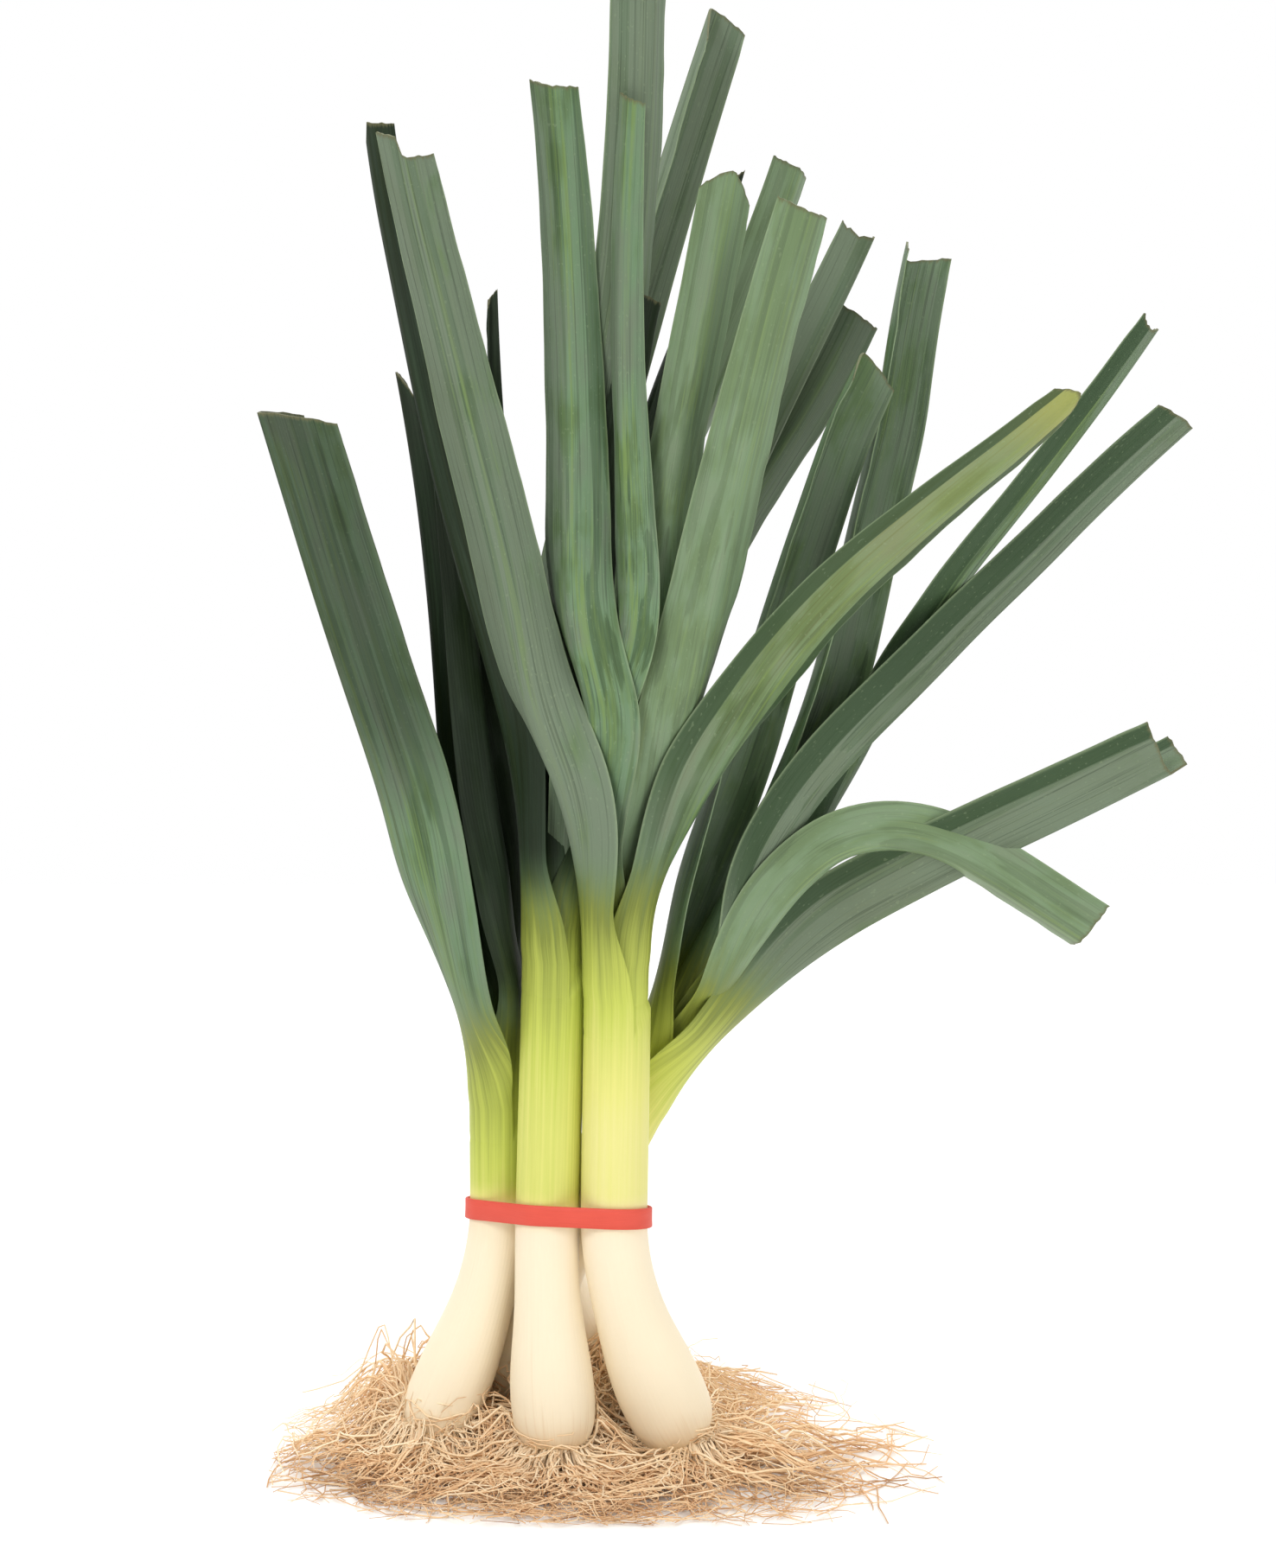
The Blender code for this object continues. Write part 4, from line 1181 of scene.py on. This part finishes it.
@dataclass
class Blade:
    """One leaf as a thin, tapering blade with a sheath at its foot."""

    leek: LeekForm
    number: int
    surface: LeafSurface
    material: Material
    sheath_overlap: float = 5 * MM
    row_step: float = 4 * MM
    columns: int = 25
    wavy: Range = (0.2, 0.5)
    thins_from: float = 0.35
    keel_thickness: float = 1.0 * MM
    margin_thickness: float = 0.45 * MM
    wave: float = 0.7 * MM
    wave_length: float = 38 * MM
    turns_green: float = 72 * MM
    tucked: float = 0.35 * MM
    differing: float = 0.022
    differs_over: Range = (40 * MM, 240 * MM)
    frayed: float = 0.5 * MM
    flap: float = 9 * MM
    point: float = 11 * MM
    tear: float = 7 * MM

    def _drop(self, across: Array, seed: float) -> Array:
        """How much is missing at the cut end.

        Args:
            across: Places from -1 to 1 between the margins.
            seed: Makes each leaf differ.

        Returns:
            The length missing at each place.
        """
        frayed = self.frayed * (2.6 + ripple(seed, 14 * across))
        match self.surface.leaf.cut:
            case CutEnd.FLAPS:
                return frayed + self.flap * smooth(-0.08, 0.02, across * (1 if seed % 2 else -1))
            case CutEnd.POINTED:
                return frayed + self.point * np.abs(across) ** 1.3
            case CutEnd.TORN:
                return frayed * 2 + self.tear * smooth(-0.1, 0.8, np.abs(across - 0.25)) + 2 * MM
        return frayed

    def _middle(self, places: Array, across: Array) -> tuple[Array, Array]:
        """The wavy surface between the two faces of the blade.

        Args:
            places: Distances along the keel.
            across: Places from -1 to 1 between the margins.

        Returns:
            A grid of points, and the normal at each.
        """
        seed = self.number + 7.0 * LEEKS.index(self.leek)
        middle = self.surface.points(places, across, self._drop(across, seed))
        normal = np.cross(np.gradient(middle, axis=0), np.gradient(middle, axis=1))
        normal /= np.linalg.norm(normal, axis=2, keepdims=True)
        freed = smooth(*self.wavy, places / self.surface.length)[:, None]
        side = np.where(across < 0, 1.0, 2.0)
        wave = ripple(seed, places[:, None] / self.wave_length * side) * np.abs(across) ** 2
        middle = middle + normal * (self.wave * wave * freed)[..., None]
        sunk = self.tucked * (1 - smooth(-self.sheath_overlap, 0, places))
        return middle + normal * sunk[:, None, None], normal

    def build(self) -> bpy.types.Object:
        """Makes both faces of the blade and the rim between them.

        Returns:
            The piece.
        """
        rows = math.ceil(self.surface.length / self.row_step)
        along = np.linspace(0, self.surface.length, rows)
        places = np.concatenate([[-self.sheath_overlap], along])
        across = np.sin(np.linspace(-1, 1, self.columns) * math.pi / 2)
        middle, normal = self._middle(places, across)
        taper = 1 - smooth(self.thins_from, 1.0, np.abs(across))
        half = (self.margin_thickness + (self.keel_thickness - self.margin_thickness) * taper) / 2
        half = half + (LEAF_THICKNESS / 2 - half) * (1 - smooth(0, SHEATH_LENGTH, places))[:, None]
        thick = normal * half[..., None]
        faces = grid_faces(rows + 1, self.columns)
        faces += grid_faces(rows + 1, self.columns, (rows + 1) * self.columns)
        faces += self._rim(rows + 1, self.columns)
        looks = self._looks(places, across)
        return Piece(
            f"{self.leek.name}_blade_{self.number}", np.concatenate([middle + thick, middle - thick]),
            faces, self.material, Slot.LEAF, f"{self.leek.name}_leaf_{self.number}",
            {name: np.concatenate([values, values]) for name, values in looks.items()},
        ).build()

    def _looks(self, places: Array, across: Array) -> dict[str, Array]:
        """What the finish reads. Near the collar it carries on from the shank.

        Args:
            places: Distances along the keel.
            across: Places from -1 to 1 between the margins.

        Returns:
            A vector for each point of one face of the blade, by attribute.
        """
        leek, leaf, surface = self.leek, self.surface.leaf, self.surface
        up = places[:, None] + np.zeros_like(across)
        reach = surface.half_widths(places)[:, None] * np.abs(across) * leek.radius * MM / surface.ring
        around = math.pi * leek.radius * MM - reach if leaf.keel[0] == 180 else reach
        height = leaf.collar * MM + up
        own = self.differing * self.number * smooth(*self.differs_over, up)
        shank = leek.greenness(height)
        start = (leek.greens_from - leaf.collar) * MM
        green = shank + (1 - shank) * smooth(start, start + self.turns_green, up)
        number = LEEKS.index(leek)
        return {
            "skin_place": vectors(up.shape, around, height, number + own),
            "skin_state": vectors(up.shape, green, surface.length - up, np.abs(across)),
            "skin_tone": vectors(up.shape, *leaf.tone.value),
            "skin_fold": vectors(up.shape, across, up, leaf.strip),
        }

    @staticmethod
    def _rim(rows: int, columns: int) -> Faces:
        """The narrow faces round the margins and ends, between the two faces of the blade.

        Args:
            rows: How many rows of points a face has.
            columns: How many points a row has.

        Returns:
            The faces.
        """
        rim = [row * columns for row in range(rows)]
        rim += [(rows - 1) * columns + column for column in range(1, columns)]
        rim += [row * columns + columns - 1 for row in range(rows - 2, -1, -1)]
        rim += list(range(columns - 2, 0, -1))
        under = rows * columns
        return [(a, b, under + b, under + a) for a, b in zip(rim, rim[1:] + rim[:1])]


@dataclass
class Shank:
    """One leek's shank: the bulb, the column and the layers that end at each leaf's collar."""

    leek: LeekForm
    number: int
    material: Material
    corners: int = 72
    row_step: float = 2.5 * MM
    lip: float = 7 * MM
    overlap: float = 5 * MM
    flutes: float = 0.12 * MM
    flute_rate: float = 0.21
    tucked_turn: float = 12
    step_from: float = 1.5 * MM
    step_to: float = 5.5 * MM
    heart_taper: float = 8 * MM
    heart_narrowing: float = 0.4
    heart_turns: float = 30 * MM
    heart_green: float = 0.9

    def _steps(self, heights: Array, angles: Array) -> Array:
        """How far the layers have stepped in, under each leaf and higher up on its open side.

        Args:
            heights: The rows' heights.
            angles: The columns' angles.

        Returns:
            A grid of depths.
        """
        inward = np.zeros((len(heights), len(angles)))
        for leaf in self.leek.leaves:
            off_keel = np.abs((angles - leaf.keel[0] + 180) % 360 - 180)
            open_side = smooth(SHEATH_TURN / 2 - self.tucked_turn, 180, off_keel)
            edge = leaf.collar * MM - self.overlap + (self.lip + self.overlap) * open_side
            inward += SHEATH_STEP * smooth(self.step_from, self.step_to, heights[:, None] - edge)
        return inward

    def build(self) -> bpy.types.Object:
        """Makes the closed column.

        Returns:
            The piece.
        """
        leek = self.leek
        last = max(leaf.collar for leaf in leek.leaves) * MM
        top = last + HEART_RISE
        low = FOOT_HEIGHT + PLATE_ROUNDING * (1 - np.cos(np.linspace(0, math.pi / 2, 10)[:-1]))
        heights = np.concatenate([low, np.arange(low[-1] + self.row_step, top, self.row_step), [top]])
        angles = np.arange(self.corners) * 360 / self.corners
        lean, toward = leek.angles(heights)
        rows = len(heights)
        facing = np.broadcast_to(angles, (rows, self.corners))
        _, out, _ = frames_of(lean[:, None], toward[:, None], facing)
        radius = leek.width_at(heights)[:, None] - self._steps(heights, angles)
        radius *= (1 - self.heart_narrowing * smooth(last + self.heart_taper, top, heights))[:, None]
        grooved = smooth(FOOT_HEIGHT + 10 * MM, FOOT_HEIGHT + 30 * MM, heights)[:, None]
        radius -= self.flutes * (1 + ripple(self.number, angles * self.flute_rate)) / 2 * grooved
        points = leek.axis(heights)[:, None] + radius[..., None] * out
        faces = grid_faces(rows, self.corners, closed=True)
        faces += [tuple(range(self.corners)), tuple(range((rows - 1) * self.corners, rows * self.corners))]
        arc = np.radians(np.minimum(angles, 360 - angles)) * leek.radius * MM
        green = leek.greenness(heights)
        green = green + (self.heart_green - green) * smooth(last - self.heart_turns, top, heights)
        none = vectors(radius.shape, 0, 0, 0)
        return Piece(
            f"{leek.name}_stalk", points, faces, self.material, Slot.SHANK, f"{leek.name}_shank",
            {
                "skin_place": vectors(radius.shape, arc, heights[:, None], self.number),
                "skin_state": vectors(radius.shape, green[:, None], 1, 0),
                "skin_tone": none,
                "skin_fold": none,
            },
        ).build()


@dataclass
class RootMat:
    """One leek's roots: a tangle of wiry strands from the base plate out over the floor."""

    leek: LeekForm
    number: int
    material: Material
    low: Vector
    high: Vector
    count: int = 560
    joints: int = 20
    sides: int = 4
    short_share: float = 0.24
    short_length: Range = (10, 38)
    least_reach: float = 0.35
    swing: float = 0.8
    waver: Range = (0.4, 3.4)
    wavers_from: float = 24 * MM
    fall: Range = (5, 15)
    thickness: Range = (0.26, 0.72)
    narrowing: float = 0.6
    wisp: float = 15 * MM
    wisp_share: float = 0.08
    front_pile: float = 9 * MM
    back_pile: float = 38 * MM
    right_pile: float = 22 * MM
    to_the_right: Range = (10 * MM, 70 * MM)
    behind: Range = (-15 * MM, 32 * MM)
    pile_middle: Range = (8 * MM, 40 * MM)
    pile_spread: float = 115 * MM
    clump: float = 9 * MM
    clear_of_shanks: float = 0.8 * MM
    edge: float = 1.5 * MM
    ragged: float = 0.28
    golden: float = 0.618
    turned_by: int = 7

    def __post_init__(self) -> None:
        """Seeds the dice with the leek's number."""
        self.dice = np.random.default_rng(self.number)
        self.share = np.linspace(0, 1, self.joints)

    def _draw(self, low: float, high: float) -> Array:
        """A number for each strand."""
        return self.dice.uniform(low, high, (self.count, 1))

    def _pile(self, place: Array) -> Array:
        """How high the tangle lies: low in front of the bulbs, and higher behind them.

        Args:
            place: Places seen from above.

        Returns:
            The height at each.
        """
        rightward = smooth(*self.to_the_right, place[..., 0])
        behind = self.back_pile + (self.right_pile - self.back_pile) * rightward
        height = self.front_pile + (behind - self.front_pile) * smooth(*self.behind, place[..., 1])
        off = np.linalg.norm(place - np.array(self.pile_middle), axis=-1)
        x, y = place[..., 0] / self.clump, place[..., 1] / self.clump
        clumps = np.sin(x + 1.7 * np.sin(0.6 * y)) * np.sin(0.8 * y + 1.3 * np.sin(0.5 * x))
        return height * (0.9 + 0.4 * clumps) * np.exp(-((off / self.pile_spread) ** 4))

    def _starts(self, angle: Array, short: Array) -> Array:
        """Where the strands leave the base plate, the short ones at its rim.

        Args:
            angle: The way that each sets out.
            short: Whether each is short.

        Returns:
            The places.
        """
        leek = self.leek
        lean, toward = (np.full(self.count, float(a)) for a in leek.angles(FOOT_HEIGHT))
        along, out, _ = frames_of(lean, toward, -np.degrees(angle[:, 0]))
        plate = PLATE_RADIUS * np.where(short, self._draw(0.7, 1.0), np.sqrt(self._draw(0.05, 0.95)))
        return (leek.axis(FOOT_HEIGHT) + out * plate + along * 0.8 * MM)[:, None]

    def _courses(self, start: Array, angle: Array, run: Array) -> tuple[Array, Array]:
        """The strands seen from above.

        Args:
            start: Where each leaves the base plate.
            angle: The way that each sets out.
            run: How far each joint is from the base plate.

        Returns:
            The joints' places, and how far each wavers up.
        """
        draw, share = self._draw, self.share
        rate = draw(1, 3)
        swing = draw(-self.swing, self.swing) * share**2
        bends = draw(0, 0.3) * share * np.sin(math.tau * (rate * share + draw(0, 1)))
        turn = angle + swing + bends
        freed = smooth(0, self.wavers_from, run)
        waves = [
            draw(*self.waver) * MM * np.sin(math.tau * (draw(1.5, 4.5) * share + draw(0, 1))) * freed
            for _ in range(3)
        ]
        place = start[..., :2] + np.stack([run * np.cos(turn), run * np.sin(turn)], -1)
        return self._within(place + np.stack(waves[:2], -1)), waves[2]

    def _lines(self) -> tuple[Array, Array]:
        """The middle lines of all the strands.

        Returns:
            Their joints, and how far each is from the base plate.
        """
        draw, share = self._draw, self.share
        short = draw(0, 1) < self.short_share
        turns = np.arange(self.count)[:, None] * self.turned_by + draw(-3, 3)
        angle = math.tau * turns / self.count
        start = self._starts(angle, short)
        near = draw(*self.short_length) * MM
        far = self.leek.reach * MM * (self.least_reach + (1 - self.least_reach) * draw(0, 1) ** 0.6)
        run = np.where(short, near, far) * share**1.15
        place, wavered = self._courses(start, angle, run)
        loops = draw(0, 1) ** 4 * np.sin(math.pi * np.clip(share * 1.5, 0, 1))
        wisps = (draw(0, 1) < self.wisp_share) * draw(0.2, 1) * self.wisp * share
        lie = self._pile(place) * (draw(0, 1) ** 0.8 + loops * 0.7) + np.abs(wavered) * 0.7 + wisps
        fall = smooth(0, draw(*self.fall) * MM, run)
        height = start[..., 2] * (1 - fall) + lie * fall
        return np.concatenate([place, height[..., None]], -1), run

    def _clear(self, path: Array, radius: Array) -> Array:
        """Keeps the lines out of the shanks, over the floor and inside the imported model's box.

        Args:
            path: The lines' joints.
            radius: The strand's radius at each.

        Returns:
            The moved joints.
        """
        for other in LEEKS:
            middle = other.axis(np.maximum(path[..., 2], FOOT_HEIGHT))
            away = path[..., :2] - middle[..., :2]
            distance = np.linalg.norm(away, axis=-1).clip(1e-6)
            wanted = other.width_at(path[..., 2]) + radius + self.clear_of_shanks
            lacking = (wanted - distance).clip(0) * smooth(9 * MM, 16 * MM, path[..., 2])
            push = away * (lacking / distance)[..., None]
            path[:, 3:, :2] += push[:, 3:]
        margin = radius[..., None] + 0.2 * MM
        low = np.array([self.low.x, self.low.y, 0])
        return np.clip(path, low + margin, np.array(self.high) - margin)

    def _within(self, place: Array) -> Array:
        """Draws in, as a whole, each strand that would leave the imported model's box.

        Args:
            place: The strands seen from above.

        Returns:
            The places, with ragged ends along the box.
        """
        start = place[:, :1]
        low = np.array([self.low.x, self.low.y]) + self.edge
        high = np.array([self.high.x, self.high.y]) - self.edge
        room = np.where(place > start, high - start, start - low)
        share = (room / np.abs(place - start).clip(1e-6)).min(axis=(1, 2)).clip(0)
        short_of = self.ragged * (np.arange(self.count) * self.golden % 1) ** 2
        share = np.where(share < 1, share * (1 - short_of), 1)
        return start + (place - start) * share[:, None, None]

    def _tubes(self, path: Array, radius: Array) -> tuple[Array, Faces]:
        """A tube round each line, closed at both ends.

        Args:
            path: The lines' joints.
            radius: The radius at each joint.

        Returns:
            Points and faces.
        """
        step = np.gradient(path, axis=1)
        step /= np.linalg.norm(step, axis=2, keepdims=True)
        side = np.cross(step, np.array([0.02, 0.01, 1.0]))
        side /= np.linalg.norm(side, axis=2, keepdims=True).clip(1e-6)
        ring = math.tau * np.arange(self.sides)[:, None] / self.sides
        across = np.cos(ring) * side[:, :, None] + np.sin(ring) * np.cross(step, side)[:, :, None]
        faces = []
        for start in range(0, path.shape[0] * self.joints * self.sides, self.joints * self.sides):
            end = start + (self.joints - 1) * self.sides
            faces += grid_faces(self.joints, self.sides, start, closed=True)
            faces += [tuple(range(first, first + self.sides)) for first in (start, end)]
        return path[:, :, None] + radius[..., None, None] * across, faces

    def build(self) -> bpy.types.Object:
        """Makes all the strands as tapering tubes in one mesh.

        Returns:
            The piece.
        """
        path, run = self._lines()
        radius = self._draw(*self.thickness) * MM * (1 - self.narrowing * self.share**1.5)
        path = self._clear(path, radius)
        tubes, faces = self._tubes(path, radius)
        number = np.arange(self.count)[:, None] + 0.5
        spot = vectors(run.shape, run / (100 * MM), number, path[..., 2])
        return Piece(
            f"{self.leek.name}_root_mat", tubes, faces, self.material, Slot.ROOT,
            f"{self.leek.name}_roots",
            {"root_place": np.repeat(spot.reshape(-1, 3), self.sides, axis=0)},
        ).build()


@dataclass
class Band:
    """The flat rubber band, taut round all the shanks."""

    material: Material
    width: float = 9 * MM
    thickness: float = 1.4 * MM
    tilt: Range = (-0.03, -0.17)
    corners: int = 240
    rounding: float = 0.4 * MM

    def _loop(self, rise: float, stand_off: float) -> Array:
        """The outline round the shanks.

        Args:
            rise: Height above the band's middle.
            stand_off: How far it stays off the shanks.

        Returns:
            A closed line of points.
        """
        tilt = np.array([*self.tilt, 0])
        outline = []
        for i in range(self.corners):
            angle = math.tau * i / self.corners
            out = np.array([math.cos(angle), math.sin(angle), 0])
            reaches = []
            for leek in LEEKS:
                touched = leek.axis(BAND_HEIGHT) + leek.radius * MM * out
                height = BAND_HEIGHT + rise + tilt @ touched
                slope = (leek.axis(height + MM / 2) - leek.axis(height - MM / 2)) / MM
                reaches.append((leek.axis(height), leek.radius_at(height) * math.hypot(1, out @ slope)))
            middle, reach = max(reaches, key=lambda found: found[0] @ out + found[1])
            outline.append(middle + (reach + stand_off) * out)
        return np.array(outline)

    def build(self) -> bpy.types.Object:
        """Makes the closed strip with rounded edges.

        Returns:
            The piece.
        """
        half, round_off = self.width / 2, self.rounding
        inner, outer = 2 * GAP, 2 * GAP + self.thickness
        profile = [
            (-half + round_off, inner), (-half, inner + round_off), (-half, outer - round_off),
            (-half + round_off, outer), (-half / 3, outer), (half / 3, outer), (half - round_off, outer),
            (half, outer - round_off), (half, inner + round_off), (half - round_off, inner),
        ]
        loops = np.array([self._loop(rise, stand_off) for rise, stand_off in profile])
        faces = grid_faces(len(profile), self.corners, closed=True)
        last = (len(profile) - 1) * self.corners
        joined = zip(range(self.corners), [*range(1, self.corners), 0])
        faces += [(last + i, last + j, j, i) for i, j in joined]
        return Piece("band_of_rubber", loops, faces, self.material, Slot.RUBBER, "rubber_band").build()


@dataclass
class Studio:
    """The floor, the soft lights and the camera."""

    target: Vector = field(default_factory=lambda: Vector((0.036, 0.0, 0.306)))
    lamps: tuple = (
        ("key_light", (-1.3, -1.8, 1.9), 28, 1.0),
        ("fill_light", (1.5, -2.0, 1.0), 18, 1.6),
        ("top_light", (0.2, 0.4, 2.4), 46, 2.6),
    )
    room_light: float = 0.36
    backdrop_light: float = 1.0
    distance: float = 1.75
    elevation: float = 8.5
    lens: float = 94
    sensor: float = 36
    floor_size: float = 3.0

    def _aimed(self, made: bpy.types.Object, place: Vector) -> None:
        """Puts a light or camera in its place and turns it to the bunch.

        Args:
            made: The light or camera.
            place: Its place.
        """
        made.location = place
        made.rotation_euler = (self.target - place).to_track_quat("-Z", "Y").to_euler()
        bpy.context.scene.collection.objects.link(made)

    def _floor(self, material: Material) -> None:
        """Lays the floor.

        Args:
            material: Its material.
        """
        half = self.floor_size / 2
        corners = [(-half, -half, 0), (half, -half, 0), (half, half, 0), (-half, half, 0)]
        mesh = bpy.data.meshes.new("studio_floor")
        mesh.from_pydata(corners, [], [(0, 1, 2, 3)])
        mesh.materials.append(material)
        ground = bpy.data.objects.new("studio_floor", mesh)
        bpy.context.scene.collection.objects.link(ground)
        ground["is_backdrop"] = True

    def _lamps(self) -> None:
        """Hangs the soft lights: each has its name, place, power and size."""
        for name, place, power, size in self.lamps:
            lamp = bpy.data.lights.new(name, "AREA")
            lamp.energy = power
            lamp.size = size
            self._aimed(bpy.data.objects.new(name, lamp), Vector(place))

    def _room(self) -> None:
        """Makes the world: even white to the camera, and a dimmer room in front of the bunch."""
        graph = Graph(bpy.data.worlds.new("studio"))
        _, behind, _ = graph.parts(graph.node("ShaderNodeTexCoord")["Generated"])
        lit = graph.ranged(behind, -0.25, 0.45, (self.room_light, self.backdrop_light))
        seen = graph.node("ShaderNodeLightPath")["Is Camera Ray"]
        strength = lit * (1 - seen) + seen * self.backdrop_light
        sky = graph.node("ShaderNodeBackground", sockets={"Color": (1, 1, 1, 1), "Strength": strength})
        graph.node("ShaderNodeOutputWorld", sockets={"Surface": sky["Background"]})
        bpy.context.scene.world = graph.owner

    def _camera(self) -> None:
        """Sets up the camera at the photo's angle."""
        rise = math.radians(self.elevation)
        back = Vector((0, -math.cos(rise), math.sin(rise)))
        camera = bpy.data.cameras.new("camera")
        camera.lens = self.lens
        camera.sensor_fit = "VERTICAL"
        camera.sensor_height = self.sensor
        eye = bpy.data.objects.new("camera", camera)
        self._aimed(eye, self.target + self.distance * back)
        bpy.context.scene.camera = eye

    def build(self, floor: Material) -> None:
        """Makes all of it.

        Args:
            floor: The floor's material.
        """
        self._floor(floor)
        self._lamps()
        self._room()
        self._camera()
        bpy.context.scene.view_settings.view_transform = "Standard"


@dataclass
class Bunch:
    """The whole bunch, from the finishes to the pieces."""

    box: tuple[Vector, Vector]

    def build(self) -> None:
        """Makes every piece in order."""
        skin = SkinFinish("leek_skin").material()
        roots = RootFinish("dry_roots").material()
        rubber = RubberFinish("coral_rubber").material()
        surfaces = {
            (leek.name, number): LeafSurface(leek, leaf)
            for leek in LEEKS for number, leaf in enumerate(leek.leaves, 1)
        }
        settle(surfaces)
        for index, leek in enumerate(LEEKS):
            Shank(leek, index, skin).build()
            for number in range(1, len(leek.leaves) + 1):
                Blade(leek, number, surfaces[leek.name, number], skin).build()
            RootMat(leek, index, roots, *self.box).build()
        Band(rubber).build()


def main() -> None:
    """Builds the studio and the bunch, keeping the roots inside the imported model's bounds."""
    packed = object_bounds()
    Studio().build(FloorFinish("pale_floor").material())
    Bunch(packed).build()


if __name__ == "__main__":
    main()
